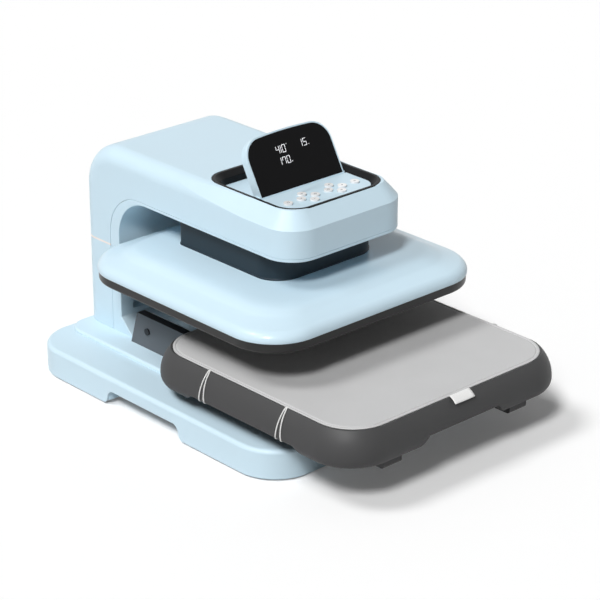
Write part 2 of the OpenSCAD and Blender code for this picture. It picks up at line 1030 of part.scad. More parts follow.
module head_floor() {
    color(body_blue) {
        difference() {
            intersection() {
                c_shell();
                across(-body_w, body_w)
                    rim_region(0);
                span([-body_w, -base_d, 0], [body_w, arch_y, arm_top]);
            }
            translate([0, neck_y, arm_under - over])
                linear_extrude(shell_wall + 2 * over)
                    neck_outline(neck_gap);
        }
        both_sides()
            for (y = floor_pads)
                span([frame_x - frame_t, y - pad_size / 2, arm_under + shell_wall / 2],
                    [frame_x, y + pad_size / 2, frame_arm_z]);
    }
}

// Rear panel and mains parts

module rear_panel() {
    color(body_blue)
        difference() {
            union() {
                span([-panel_w / 2, column_rear - shell_wall, panel_low],
                    [panel_w / 2, column_rear, panel_high]);
                span([-panel_w / 2 - panel_lip, column_rear - 2 * shell_wall, panel_low - panel_lip],
                    [panel_w / 2 + panel_lip, column_rear - shell_wall, panel_high + panel_lip]);
            }
            span([inlet_x - inlet_w / 2, 0, inlet_z - inlet_h / 2],
                [inlet_x + inlet_w / 2, base_d, inlet_z + inlet_h / 2]);
            span([switch_x - switch_w / 2, 0, inlet_z - switch_h / 2],
                [switch_x + switch_w / 2, base_d, inlet_z + switch_h / 2]);
            for (i = [0 : vent_rows - 1])
                span([-vent_w / 2, 0, vent_top - i * vent_pitch - vent_h],
                    [vent_w / 2, base_d, vent_top - i * vent_pitch]);
            for (x = [-panel_screw_x, panel_screw_x], z = panel_screw_z)
                translate([x, 0, z])
                    bar_y(0, base_d, bolt_r);
        }
}

// Box between two depths, round the middle of the inlet or the switch
module mains_box(x, w, h, y0, y1) {
    span([x - w / 2, y0, inlet_z - h / 2], [x + w / 2, y1, inlet_z + h / 2]);
}

module power_inlet() {
    back = column_rear - inlet_deep;
    color(near_black) {
        for (p = blade_places)
            translate([inlet_x + p[0], 0, inlet_z + p[1]])
                span([-blade_w / 2, back - over, -blade_h / 2],
                    [blade_w / 2, column_rear - blade_in, blade_h / 2]);
        difference() {
            union() {
                mains_box(inlet_x, inlet_w, inlet_h, back - inlet_wall, column_rear);
                mains_box(inlet_x, inlet_w + 2 * inlet_flange, inlet_h + 2 * inlet_flange,
                    column_rear, column_rear + inlet_flange_t);
            }
            mains_box(inlet_x, inlet_w - 2 * inlet_wall, inlet_h - 2 * inlet_wall, back, base_d);
        }
    }
}

module switch_housing() {
    back = column_rear - inlet_deep;
    socket = switch_w / 2 - switch_end / 2;
    color(near_black)
        difference() {
            union() {
                mains_box(switch_x, switch_w, switch_h, back, column_rear);
                mains_box(switch_x, switch_w + 2 * switch_lip, switch_h + 2 * switch_lip,
                    column_rear, column_rear + switch_lip);
            }
            mains_box(switch_x, switch_w - 2 * switch_wall, switch_h - 2 * switch_end,
                back + switch_back, base_d);
            translate([switch_x, rocker_y, inlet_z])
                bar_x(-socket, socket, rocker_pin_r + run_gap);
        }
}

module power_rocker() {
    half = switch_w / 2 - rocker_side;
    pin = switch_w / 2 - switch_end / 2 - rocker_pin_gap;
    color(near_black)
        translate([switch_x, rocker_y, inlet_z])
            rotate([rocker_tilt, 0, 0]) {
                across(-half, half)
                    difference() {
                        translate([-rocker_rear, -rocker_h / 2])
                            square([rocker_deep, rocker_h]);
                        translate([rocker_dish + rocker_r, 0])
                            circle(rocker_r);
                    }
                bar_x(-pin, pin, rocker_pin_r);
            }
}

module power_board() {
    color(board_green)
        translate([0, mains_y, mains_z]) {
            span([-frame_x + frame_t, -mains_t, mains_low], [frame_x - frame_t, 0, mains_high]);
            for (b = mains_blocks)
                span(b[0], b[1]);
            for (x = can_x)
                translate([x, 0, can_z])
                    bar_y(0, can_len, can_r);
        }
}

// Slide bed

module slide_bed() {
    color(dark_grey)
        difference() {
            union() {
                both_sides()
                    across(bed_in, bed_w / 2)
                        polygon([[bed_front, deck_z], [bed_rear_low, deck_z], [bed_rear_top, bed_top],
                            [bed_front, bed_top]]);
                span([-bed_in - over, bed_front, deck_z],
                    [bed_in + over, bed_floor_rear, deck_z + bed_floor_t]);
            }
            both_sides()
                for (y = bed_screw_y)
                    translate([0, y, rail_mid])
                        bar_x(bed_in - over, bed_w / 2 + over, bolt_r);
        }
}

// Screw along +Z with its head below the origin
module screw(length) {
    translate([0, 0, -bolt_head_h])
        cylinder(h = bolt_head_h, r = bolt_head_r);
    translate([0, 0, -over])
        cylinder(h = length + over, r = bolt_r);
}

module cover_screws() {
    color(near_black) {
        both_sides()
            for (y = [-boss_y, boss_y])
                translate([boss_x, y, plate_z])
                    screw(plate_t + bolt_bite);
        both_sides()
            for (y = bed_screw_y)
                translate([bed_w / 2, y, rail_mid])
                    rotate([0, -90, 0])
                        screw(bed_wall);
        for (x = [-panel_screw_x, panel_screw_x], z = panel_screw_z)
            translate([x, column_rear, z])
                rotate([90, 0, 0])
                    screw(2 * shell_wall + bolt_bite / 2);
    }
}

module bed_rails() {
    color(bare_alu)
        both_sides()
            translate([0, rail_front, rail_mid])
                rotate([-90, 0, 0])
                    linear_extrude(rail_rear - rail_front)
                        difference() {
                            translate([bed_in - rail_deep, -rail_h / 2])
                                square([rail_deep, rail_h]);
                            translate([bed_in - rail_deep - over, -rail_h / 2 + rail_t])
                                square([rail_deep - rail_t + over, rail_h - 2 * rail_t]);
                        }
}

// Press drive

module guide_rods() {
    color(steel)
        translate([0, neck_y, rod_z])
            for (x = [-rod_x, rod_x], y = [-rod_y, rod_y])
                translate([x, y, 0])
                    cylinder(h = drive_z - rod_z, r = rod_dia / 2);
}

module inner_shroud() {
    color(slate)
        translate([0, neck_y, 0])
            frame_tube(shroud_w, shroud_d, shroud_r, shroud_wall, shroud_z, drive_z);
}

module drive_motor() {
    color(steel)
        translate([0, motor_y, 0]) {
            difference() {
                span([-motor_dia / 2, -motor_dia / 2, drive_z - motor_flange_t],
                    [motor_dia / 2, motor_dia / 2, drive_z]);
                translate([0, 0, drive_z - motor_flange_t])
                    cylinder(h = 2 * motor_flange_t, r = motor_shaft_r + 1);
            }
            translate([0, 0, drive_z - motor_len])
                cylinder(h = motor_len - motor_flange_t, r = motor_dia / 2);
        }
}

module lead_screw() {
    color(steel)
        translate([0, platen_y, 0]) {
            translate([0, 0, rod_z])
                cylinder(h = drive_z - belt_gap - rod_z, r = screw_dia / 2);
            translate([0, 0, drive_z - over])
                cylinder(h = pulley_z + pulley_h - drive_z + over, r = journal_r);
        }
}

module pulley(dia, bore_r) {
    difference() {
        union() {
            cylinder(h = pulley_h, r = dia / 2);
            cylinder(h = (pulley_h - belt_h) / 2 - belt_gap, r = dia / 2 + belt_t + over);
            translate([0, 0, pulley_h - (pulley_h - belt_h) / 2 + belt_gap])
                cylinder(h = (pulley_h - belt_h) / 2 - belt_gap, r = dia / 2 + belt_t + over);
        }
        translate([0, 0, -over])
            cylinder(h = pulley_h + 2 * over, r = bore_r);
    }
}

module screw_pulley() {
    color(bare_alu)
        translate([0, platen_y, pulley_z])
            pulley(screw_pulley_dia, journal_r);
}

module motor_pulley() {
    color(bare_alu)
        translate([0, motor_y, 0]) {
            translate([0, 0, pulley_z])
                pulley(motor_pulley_dia, motor_shaft_r - over);
            translate([0, 0, drive_z - motor_flange_t + belt_gap])
                cylinder(h = pulley_z + pulley_h - drive_z + motor_flange_t - belt_gap, r = motor_shaft_r);
        }
}

// Outline of a belt round both pulleys, grown outward
module belt_outline(grow) {
    big = screw_pulley_dia / 2 + grow;
    small = motor_pulley_dia / 2 + grow;
    lean = asin((big - small) / (motor_y - platen_y));
    near = platen_y + big * sin(lean);
    far = motor_y + small * sin(lean);
    translate([0, platen_y])
        circle(big);
    translate([0, motor_y])
        circle(small);
    polygon([[big * cos(lean), near], [small * cos(lean), far], [-small * cos(lean), far],
        [-big * cos(lean), near]]);
}

module drive_belt() {
    color(near_black)
        translate([0, 0, pulley_z + (pulley_h - belt_h) / 2])
            linear_extrude(belt_h)
                difference() {
                    belt_outline(belt_gap + belt_t);
                    belt_outline(belt_gap);
                }
}

module crosshead() {
    color(steel)
        difference() {
            translate([0, neck_y, 0])
                prism(cross_w, cross_d, cross_r, cross_z, cross_top);
            translate([0, neck_y, cross_z - over])
                for (x = [-rod_x, rod_x], y = [-rod_y, rod_y])
                    translate([x, y, 0])
                        cylinder(h = cross_t + 2 * over, r = bush_r);
            translate([0, platen_y, cross_z - over])
                cylinder(h = cross_t + 2 * over, r = nut_r);
        }
}

module bush(h, r, bore_r) {
    difference() {
        cylinder(h = h, r = r);
        translate([0, 0, -over])
            cylinder(h = h + 2 * over, r = bore_r);
    }
}

// Four guide bushes and the nut of the lead screw
module brass_bushes() {
    color(brass) {
        translate([0, neck_y, bush_top - bush_h])
            for (x = [-rod_x, rod_x], y = [-rod_y, rod_y])
                translate([x, y, 0])
                    bush(bush_h, bush_r, rod_dia / 2 + run_gap);
        translate([0, platen_y, cross_top - nut_h])
            bush(nut_h, nut_r, screw_dia / 2 + nut_clear);
    }
}

module ram_tube() {
    color(steel)
        translate([0, platen_y, top_plate_z + top_plate_t])
            difference() {
                cylinder(h = cross_z - top_plate_z - top_plate_t, r = ram_r);
                translate([0, 0, -over])
                    cylinder(h = cross_z - top_plate_z + 2 * over, r = ram_bore_r);
            }
}

module neck_shroud() {
    color(slate)
        translate([0, neck_y, cover_top])
            difference() {
                union() {
                    linear_extrude(neck_top - cover_top)
                        neck_outline(0);
                    linear_extrude(neck_foot_h)
                        neck_outline(neck_foot);
                }
                translate([0, 0, -over])
                    linear_extrude(neck_top - cover_top + 2 * over)
                        neck_outline(-neck_wall);
            }
}

// Platen

// Outer line of the cover, drawn in by the given amount
module cover_profile(inset) {
    s = platen_corner_r - inset;
    r = cover_edge_r - inset;
    low = rim_z - (inset > 0 ? over : 0);
    intersection() {
        translate([0, low])
            square([s, cover_top - inset - low]);
        union() {
            translate([0, low])
                square([s, rim_z + cover_skirt - low]);
            translate([0, low])
                square([s - r, rim_z + cover_skirt + r - low]);
            translate([s - r, rim_z + cover_skirt])
                circle(r);
            polygon([[0, rim_z], [s - r, rim_z], [s - r, rim_z + cover_skirt + r],
                [platen_corner_r - cover_band_1, cover_mid_z - inset],
                [platen_corner_r - cover_band_2, cover_top - inset], [0, cover_top - inset]]);
        }
    }
}

module platen_cover() {
    color(body_blue)
        translate([0, platen_y, 0])
            difference() {
                swept(platen_w, platen_d, platen_corner_r, rim_z, cover_top)
                    cover_profile(0);
                swept(platen_w - 2 * cover_wall, platen_d - 2 * cover_wall, platen_corner_r - cover_wall,
                    rim_z - over, cover_top - cover_wall)
                    cover_profile(cover_wall);
                translate([0, 0, rim_z])
                    cylinder(h = 2 * cover_h, r = ram_r + 2);
            }
}

module platen_ring() {
    w = platen_w - 2 * ring_inset;
    d = platen_d - 2 * ring_inset;
    r = platen_corner_r - ring_inset;
    color(near_black)
        translate([0, platen_y, 0])
            difference() {
                union() {
                    soft_slab(w, d, r, rim_z - ring_under, rim_z, 0, ring_edge_r);
                    prism(platen_w - 2 * cover_wall, platen_d - 2 * cover_wall,
                        platen_corner_r - cover_wall, rim_z - over, rim_z + ring_over);
                }
                prism(ring_in_w, ring_in_d, ring_in_r, rim_z - ring_under - over, rim_z + ring_over + over);
            }
}

module platen_plate() {
    color(steel)
        translate([0, platen_y, 0]) {
            prism(top_plate_w, top_plate_d, top_plate_r, top_plate_z, top_plate_z + top_plate_t);
            for (x = [-stud_x, stud_x], y = [-stud_y, stud_y])
                translate([x, y, heat_top])
                    cylinder(h = top_plate_z - heat_top + over, r = stud_r);
        }
}

module insulation_board() {
    color([0.85, 0.82, 0.72])
        translate([0, platen_y, 0])
            difference() {
                prism(board_w, board_d, board_r, board_z, board_z + board_t);
                for (x = [-stud_x, stud_x], y = [-stud_y, stud_y])
                    translate([x, y, board_z - over])
                        cylinder(h = board_t + 2 * over, r = stud_r + fit_gap);
            }
}

module heating_element() {
    half = element_h / 2;
    color(steel)
        translate([0, platen_y - (element_rows - 1) * element_pitch / 2, heat_top])
            linear_extrude(element_h)
                for (i = [0 : element_rows - 1]) {
                    translate([-element_len / 2, i * element_pitch - half])
                        square([element_len, element_h]);
                    if (i < element_rows - 1)
                        translate([(i % 2 == 0 ? 1 : -1) * element_len / 2, (i + 0.5) * element_pitch])
                            rotate(i % 2 == 0 ? 0 : 180)
                                intersection() {
                                    difference() {
                                        circle(element_pitch / 2 + half);
                                        circle(element_pitch / 2 - half);
                                    }
                                    translate([0, -element_pitch])
                                        square([element_pitch, 2 * element_pitch]);
                                }
                }
}

module heat_plate() {
    color(bare_alu)
        translate([0, platen_y, 0])
            prism(ring_in_w - 2 * heat_gap, ring_in_d - 2 * heat_gap, ring_in_r - heat_gap,
                heat_z, heat_top);
}

// Drawer

// Radius of an arc that leaves an upright line and leans by lean over the given height
function lean_radius(height, lean) = (height * height + lean * lean) / (2 * lean);

module tray_profile() {
    upper_r = lean_radius(tray_bulge_drop, tray_lean);
    lower_r = lean_radius(tray_leg_drop, tray_tuck);
    fill = tray_r - tray_lean - tray_tuck;
    translate([0, tray_leg_z])
        square([fill, tray_rim_z - tray_leg_z]);
    intersection() {
        translate([0, tray_bulge_z])
            square([tray_r, tray_bulge_drop]);
        translate([tray_r - upper_r, tray_bulge_z])
            circle(upper_r);
    }
    intersection() {
        translate([0, tray_leg_z])
            square([tray_r, tray_leg_drop]);
        translate([tray_r - lower_r, tray_bulge_z])
            circle(lower_r);
    }
}

// Cut under the drawer's edge, with sloped ends
module cut_outline(len, low, high) {
    polygon([[-len / 2 - cut_slope / 2, low], [len / 2 + cut_slope / 2, low],
        [len / 2 - cut_slope / 2, high], [-len / 2 + cut_slope / 2, high]]);
}

// Leg under the drawer, with rounded lower edges
module glide_outline() {
    translate([glide_front, glide_z + glide_r])
        square([glide_d, tray_under + over - glide_z - glide_r]);
    translate([glide_front + glide_r, glide_z])
        square([glide_d - 2 * glide_r, 2 * glide_r]);
    for (y = [glide_front + glide_r, glide_front + glide_d - glide_r])
        translate([y, glide_z + glide_r])
            circle(glide_r);
}

module drawer_tray() {
    low = tray_leg_z - over;
    color(dark_grey) {
        translate([0, pad_y, 0])
            difference() {
                swept(tray_w, tray_d, tray_r, tray_leg_z, tray_rim_z)
                    tray_profile();
                prism(tray_in_w, tray_in_d, pad_r, low, tray_under);
                prism(pad_w + fit_gap, pad_d + fit_gap, pad_r + fit_gap / 2, pad_seat, tray_rim_z + over);
                across(-tray_w, tray_w)
                    cut_outline(side_cut_len, low, side_cut_z);
                rotate([90, 0, 0])
                    linear_extrude(tray_d)
                        cut_outline(pull_len, low, pull_z);
                span([-bed_w / 2 - bed_open, 0, low], [bed_w / 2 + bed_open, tray_d, tray_under]);
            }
        both_sides()
            across(glide_x - glide_w / 2, glide_x + glide_w / 2)
                glide_outline();
    }
}

module drawer_runners() {
    slot = rail_h - 2 * rail_t - 2 * runner_gap;
    web = rail_h - 6 * rail_t - 2 * runner_gap;
    color(steel)
        both_sides() {
            span([bed_in - rail_t - runner_gap - runner_t, runner_front, rail_mid - slot / 2],
                [bed_in - rail_t - runner_gap, runner_rear, rail_mid + slot / 2]);
            span([bed_in - rail_deep - hanger_t - runner_gap, runner_front, rail_mid - web / 2],
                [bed_in - rail_t - runner_gap - runner_t / 2, runner_rear, rail_mid + web / 2]);
            span([bed_in - rail_deep - hanger_t - runner_gap, runner_front, rail_mid - web / 2],
                [bed_in - rail_deep - runner_gap, runner_rear, tray_under]);
        }
}

module pad_core() {
    color([0.55, 0.55, 0.56])
        translate([0, pad_y, 0])
            prism(pad_w - 2 * core_in, pad_d - 2 * core_in, pad_r - core_in, pad_seat, pad_seat + core_t);
}

module pad_cover() {
    color([0.74, 0.74, 0.75])
        translate([0, pad_y, 0])
            difference() {
                soft_slab(pad_w, pad_d, pad_r, pad_seat, pad_top, pad_edge_r, 0);
                prism(pad_w - 2 * core_in, pad_d - 2 * core_in, pad_r - core_in, pad_seat - over,
                    pad_seat + core_t);
            }
}

// Half-width of the drawer's side at a height
function tray_side(z) =
    let (upper_r = lean_radius(tray_bulge_drop, tray_lean),
        lower_r = lean_radius(tray_leg_drop, tray_tuck),
        r = z > tray_bulge_z ? upper_r : lower_r,
        dz = z - tray_bulge_z)
    tray_w / 2 - r + sqrt(r * r - dz * dz);

// Route of one elastic strand, from the pad's edge down the drawer's side
cord_gap = 0.4;
cord_hook = 1;
cord_rise = 0.6;
cord_out = cord_dia / 2 + cord_gap;
cord_low = side_cut_z - cord_hook;
cord_high = tray_rim_z - cord_gap;
cord_edge = tray_side(tray_rim_z) + cord_out;
function cord_z(t) = cord_high + (cord_low - cord_high) * t;
function cord_point(t, spread) =
    [tray_side(cord_z(t)) + cord_out, spread * (0.25 + 0.75 * t), cord_z(t)];
function cord_route(spread) = concat(
    [[cord_edge - cord_rise, spread * 0.1, tray_rim_z + cord_rise],
        [cord_edge, spread * 0.2, tray_rim_z]],
    [for (i = [0 : cord_steps]) cord_point(i / cord_steps, spread)]);

// Tube along a list of points that run mostly downward
module strand(points, r) {
    n = len(points);
    rings = [for (p = points) for (k = [0 : cord_sides - 1])
        [p[0] + r * cos(360 * k / cord_sides), p[1] + r * sin(360 * k / cord_sides), p[2]]];
    walls = [for (i = [0 : n - 2]) for (k = [0 : cord_sides - 1]) for (h = [0, 1])
        let (a = i * cord_sides + k, b = i * cord_sides + (k + 1) % cord_sides)
        h == 0 ? [a, b, b + cord_sides] : [a, b + cord_sides, a + cord_sides]];
    first = [for (k = [1 : cord_sides - 2]) [0, k + 1, k]];
    base = (n - 1) * cord_sides;
    last = [for (k = [1 : cord_sides - 2]) [base, base + k, base + k + 1]];
    polyhedron(points = rings, faces = concat(walls, first, last));
}

module elastic_cords() {
    color(pale)
        translate([0, pad_y, 0])
            both_sides()
                for (y = cord_y, s = [-cord_spread, cord_spread])
                    translate([0, y, 0])
                        strand(cord_route(s), cord_dia / 2);
}

module pad_tag() {
    color(pale)
        translate([tag_x - tag_w / 2, pad_y - pad_d / 2 - tag_gap, tray_rim_z + tag_gap])
            rotate([-tag_lean, 0, 0])
                translate([0, 0, -tag_h])
                    cube([tag_w, tag_t, tag_h]);
}

// Console

module bezel_ring_profile() {
    polygon([[bezel_r - bezel_ring, console_top], [bezel_r, console_top], [bezel_r, bezel_top],
        [bezel_r - bezel_lip, bezel_top], [bezel_r - bezel_ring, dish_z]]);
}

module bezel() {
    color(near_black)
        translate([0, bezel_y, 0])
            difference() {
                swept(bezel_w, bezel_w, bezel_r, console_top, console_top + over)
                    bezel_ring_profile();
                prism(bezel_w - 2 * bezel_ring, bezel_w - 2 * bezel_ring, bezel_r - bezel_ring,
                    console_top - over, bezel_top + over);
            }
}

module console_floor() {
    color(near_black) {
        translate([0, bezel_y, 0])
            prism(bezel_w, bezel_w, bezel_r, console_z, console_top);
        both_sides()
            span([bezel_w / 2 - over, lug_front, console_z], [frame_x, lug_rear, console_top]);
        both_sides()
            span([frame_x - frame_t, lug_front, frame_arm_top], [frame_x, lug_rear, console_z]);
    }
}

module display_well() {
    w = key_panel_w - 2 * fit_gap;
    rear = bezel_y + w / 2;
    color(body_blue)
        difference() {
            union() {
                intersection() {
                    translate([0, bezel_y, 0])
                        prism(w, w, key_panel_r, console_top, well_floor);
                    span([-bezel_w, key_panel_rear, console_z], [bezel_w, rear, bezel_top]);
                }
                both_sides()
                    span([w / 2 - ear_t, hinge_y - ear_r, console_top],
                        [w / 2, hinge_y + ear_r, hinge_z + ear_r]);
            }
            translate([0, hinge_y, hinge_z])
                bar_x(-bezel_w, bezel_w, pin_r);
        }
}

// Places of all keys
function cluster_places(x) =
    [for (a = [0 : 90 : 270]) [x + cluster_r * cos(a), key_y + cluster_r * sin(a)]];
key_places = concat([[-single_x, key_y]], cluster_places(-cluster_x), cluster_places(cluster_x),
    [[single_x, key_y]]);

module key_panel() {
    w = key_panel_w - 2 * fit_gap;
    color(body_blue)
        difference() {
            intersection() {
                translate([0, bezel_y, 0])
                    prism(w, w, key_panel_r, key_under, key_panel_z);
                span([-w, key_panel_front - over, 0], [w, key_panel_rear, arm_top]);
            }
            for (p = key_places)
                translate([p[0], p[1], key_under - over])
                    cylinder(h = key_panel_t + 2 * over, r = key_dia / 2 + key_gap);
        }
}

module control_board() {
    half = key_panel_w / 2 - board_in;
    root = board_top - board_root;
    color(board_green) {
        span([-half, key_panel_front + board_in, console_top], [half, key_panel_rear - over, board_top]);
        for (p = key_places)
            translate([p[0], p[1], root])
                cylinder(h = switch_top - root, r = board_post_r);
        both_sides()
            for (p = board_posts)
                translate([p[0], p[1], root])
                    cylinder(h = key_under - root, r = board_post_r);
    }
}

module hinge_pin() {
    color(steel)
        translate([0, hinge_y, hinge_z])
            bar_x(-key_panel_w / 2 + fit_gap, key_panel_w / 2 - fit_gap, pin_r);
}

// Outline of the display, drawn in by the given amount, from the hinge line outward
module display_outline(inset) {
    w = display_w - 2 * inset;
    len = display_len - inset;
    r = display_r - inset;
    mid = display_mid * (display_arc_r - inset) / (display_arc_r - display_r);
    intersection() {
        union() {
            translate([-w / 2, 0])
                square([w, len - display_crown - r]);
            translate([-mid, 0])
                square([2 * mid, len]);
            for (s = [-1, 1])
                translate([s * (w / 2 - r), len - display_crown - r])
                    circle(r);
        }
        translate([0, len - display_arc_r + inset])
            circle(display_arc_r - inset);
    }
}

module at_display() {
    translate([0, hinge_y, hinge_z])
        rotate([display_tilt, 0, 0])
            children();
}

module display_shell() {
    color(body_blue)
        at_display()
            difference() {
                union() {
                    translate([0, 0, -hinge_r])
                        linear_extrude(display_t)
                            display_outline(0);
                    bar_x(-display_w / 2, display_w / 2, hinge_r);
                }
                bar_x(-display_w, display_w, pin_r + run_gap);
                translate([0, 0, hinge_r - glass_t])
                    linear_extrude(display_t)
                        intersection() {
                            display_outline(glass_in);
                            translate([-display_w, glass_in / 2])
                                square([2 * display_w, display_len]);
                        }
            }
}

module display_glass() {
    color(near_black)
        at_display()
            translate([0, 0, hinge_r - glass_t])
                linear_extrude(glass_t)
                    intersection() {
                        display_outline(glass_in);
                        translate([-display_w, glass_in / 2])
                            square([2 * display_w, display_len]);
                    }
}

module key_cap(p) {
    color(pale)
        translate([p[0], p[1], 0]) {
            translate([0, 0, key_under - key_flange_t])
                cylinder(h = key_flange_t, r = key_dia / 2 + key_flange);
            translate([0, 0, key_under - over])
                cylinder(h = key_top - key_under + over, r = key_dia / 2);
        }
}

module key_left() {
    key_cap(key_places[0]);
}

module key_a_right() {
    key_cap(key_places[1]);
}

module key_a_rear() {
    key_cap(key_places[2]);
}

module key_a_left() {
    key_cap(key_places[3]);
}

module key_a_front() {
    key_cap(key_places[4]);
}

module key_b_right() {
    key_cap(key_places[5]);
}

module key_b_rear() {
    key_cap(key_places[6]);
}

module key_b_left() {
    key_cap(key_places[7]);
}

module key_b_front() {
    key_cap(key_places[8]);
}

module key_right() {
    key_cap(key_places[9]);
}

base_shell();
base_plate();
base_feet();
cover_screws();
frame_plates();
drive_plate();
arm_cover();
column_cover();
throat_liner();
column_front();
head_floor();
seam_band();
rear_panel();
power_inlet();
switch_housing();
power_rocker();
power_board();
slide_bed();
bed_rails();
guide_rods();
inner_shroud();
drive_motor();
drive_belt();
bezel();
console_floor();
display_well();
key_panel();
control_board();
hinge_pin();
lead_screw();
screw_pulley();
motor_pulley();
neck_shroud();
crosshead();
brass_bushes();
ram_tube();
platen_cover();
platen_ring();
platen_plate();
insulation_board();
heating_element();
heat_plate();
drawer_tray();
drawer_runners();
pad_core();
pad_cover();
elastic_cords();
pad_tag();
display_shell();
display_glass();
key_left();
key_right();
key_a_right();
key_a_rear();
key_a_left();
key_a_front();
key_b_right();
key_b_rear();
key_b_left();
key_b_front();
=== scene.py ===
"""Looks of the flat heat press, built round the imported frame. Metres; the frame's own axes."""
import json
import math

import bpy
import bmesh
from mathutils import Matrix, Vector


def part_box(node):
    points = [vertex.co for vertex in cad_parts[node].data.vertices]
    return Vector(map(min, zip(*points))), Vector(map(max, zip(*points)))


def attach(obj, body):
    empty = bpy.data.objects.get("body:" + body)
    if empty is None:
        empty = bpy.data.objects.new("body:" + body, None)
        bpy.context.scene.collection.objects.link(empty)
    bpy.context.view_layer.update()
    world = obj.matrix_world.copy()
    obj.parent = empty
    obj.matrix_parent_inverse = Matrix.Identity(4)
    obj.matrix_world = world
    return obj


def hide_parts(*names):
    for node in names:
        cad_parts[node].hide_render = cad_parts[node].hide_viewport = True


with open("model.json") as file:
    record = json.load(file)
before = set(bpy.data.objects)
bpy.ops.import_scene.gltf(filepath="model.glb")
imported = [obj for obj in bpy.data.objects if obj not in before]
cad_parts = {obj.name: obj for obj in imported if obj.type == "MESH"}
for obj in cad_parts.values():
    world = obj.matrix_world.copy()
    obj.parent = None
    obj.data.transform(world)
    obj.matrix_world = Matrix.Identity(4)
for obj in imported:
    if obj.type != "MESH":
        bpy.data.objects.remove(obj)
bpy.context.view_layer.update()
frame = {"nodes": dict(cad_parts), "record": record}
NODES = frame["nodes"]
MM = 0.001

# Sizes in millimetres that the pieces share with the solids
PLATEN = {"w": 399, "d": 396, "r": 70, "y": -45.2, "rim": 184, "wall": 3}
PAD = {"w": 380, "d": 377, "r": 56, "y": -191.45}
TRAY = {"w": 412, "rim": 114, "bulge": 78, "leg": 67, "lean": 14.5, "tuck": 4}
DISPLAY = {"y": -82.25, "z": 313, "tilt": 60.5, "face": 6.25}
KEY_TOP = 318


# Nodes and materials

# Scale and detail of the broad drift and of the fine grain on moulded surfaces
BROAD_SCALE = 9
BROAD_DETAIL = 4
FINE_DETAIL = 2
GRAIN_STRENGTH = 0.35
# Darkest and lightest share of the colour, and least and most share of the roughness, of brushed metal
BRUSH_COLOUR = (0.9, 1.06)
BRUSH_ROUGH = (0.8, 1.25)
BRUSH_STRENGTH = 0.25
BRUSH_DEPTH = 0.00002
# The wave node's scale times the thread pitch that it gives, and the weave's unevenness
WAVE_PER_THREAD = 0.314
WAVE_BEND = 0.35
WAVE_BEND_SCALE = 30.0
FUZZ_SCALE = 1400
FUZZ_SHARE = 0.35
BLOT_SCALE = 14
BLOT_DARK = (0.955, 0.955, 0.955)
WHITE = (1, 1, 1)
THREAD_COLOUR = (0.86, 1.04)
THREAD_RANGE = (0.1, 0.8)
CLOTH_ROUGH = (0.78, 0.95)
SHEEN_ROUGH = 0.5
WEAVE_STRENGTH = 0.5
# The slide bed's surface
BED_BROAD = 12
BED_GRAIN = 1300
BED_COLOUR = (0.94, 1.06)
BED_ROUGH = (0.46, 0.58)
BED_GLOSS = 0.25
BED_DEPTH = 0.00005
# Share of the normal's upright part at which the painted shade on the bed's upward faces starts and is full
TOP_SHADE_RANGE = (0.6, 0.8)
# Unevenness of the lit figures
PATCH_SCALE = 600
PATCH_DARK = 0.85


def new_material(name):
    material = bpy.data.materials.new(name)
    material.use_nodes = True
    tree = material.node_tree
    shader = next(n for n in tree.nodes if n.type == "BSDF_PRINCIPLED")
    return material, tree, shader


def add(tree, kind, **values):
    node = tree.nodes.new(kind)
    for key, value in values.items():
        if hasattr(node, key):
            setattr(node, key, value)
        else:
            node.inputs[key.replace("_", " ")].default_value = value
    return node


def link(tree, source, output, target, socket):
    tree.links.new(source.outputs[output], target.inputs[socket])


def coordinates(tree):
    return add(tree, "ShaderNodeTexCoord")


def noise(tree, coords, scale, detail=3.0, rough=0.55):
    node = add(tree, "ShaderNodeTexNoise")
    node.inputs["Scale"].default_value = scale
    node.inputs["Detail"].default_value = detail
    node.inputs["Roughness"].default_value = rough
    link(tree, coords, "Object", node, "Vector")
    return node


def spread(tree, source, output, low, high, start=0.3, stop=0.7):
    node = add(tree, "ShaderNodeMapRange")
    node.inputs["From Min"].default_value = start
    node.inputs["From Max"].default_value = stop
    node.inputs["To Min"].default_value = low
    node.inputs["To Max"].default_value = high
    link(tree, source, output, node, "Value")
    return node


def two_colours(tree, source, output, dark, light, start=0.3, stop=0.7):
    ramp = add(tree, "ShaderNodeValToRGB")
    ramp.color_ramp.elements[0].position = start
    ramp.color_ramp.elements[0].color = (*dark, 1)
    ramp.color_ramp.elements[1].position = stop
    ramp.color_ramp.elements[1].color = (*light, 1)
    link(tree, source, output, ramp, "Fac")
    return ramp


def bump(tree, shader, source, output, strength, distance):
    node = add(tree, "ShaderNodeBump")
    node.inputs["Strength"].default_value = strength
    node.inputs["Distance"].default_value = distance
    link(tree, source, output, node, "Height")
    link(tree, node, "Normal", shader, "Normal")
    return node


def shade(colour, factor):
    return tuple(min(1.0, c * factor) for c in colour)


def moulded(name, colour, rough, coat=0.0, coat_rough=0.1, grain=900, depth=0.00002, vary=0.02, metal=0.0,
        gloss=0.5, drift=0.12):
    """Moulded or painted surface: faint colour drift, uneven gloss and a fine grain."""
    material, tree, shader = new_material(name)
    coords = coordinates(tree)
    broad = noise(tree, coords, BROAD_SCALE, BROAD_DETAIL)
    fine = noise(tree, coords, grain, FINE_DETAIL)
    colour_node = two_colours(tree, broad, "Fac", shade(colour, 1 - vary), shade(colour, 1 + vary))
    link(tree, colour_node, "Color", shader, "Base Color")
    rough_node = spread(tree, broad, "Fac", rough * (1 - drift), rough * (1 + drift))
    link(tree, rough_node, "Result", shader, "Roughness")
    shader.inputs["Metallic"].default_value = metal
    shader.inputs["Specular IOR Level"].default_value = gloss
    shader.inputs["Coat Weight"].default_value = coat
    shader.inputs["Coat Roughness"].default_value = coat_rough
    bump(tree, shader, fine, "Fac", GRAIN_STRENGTH, depth)
    return material


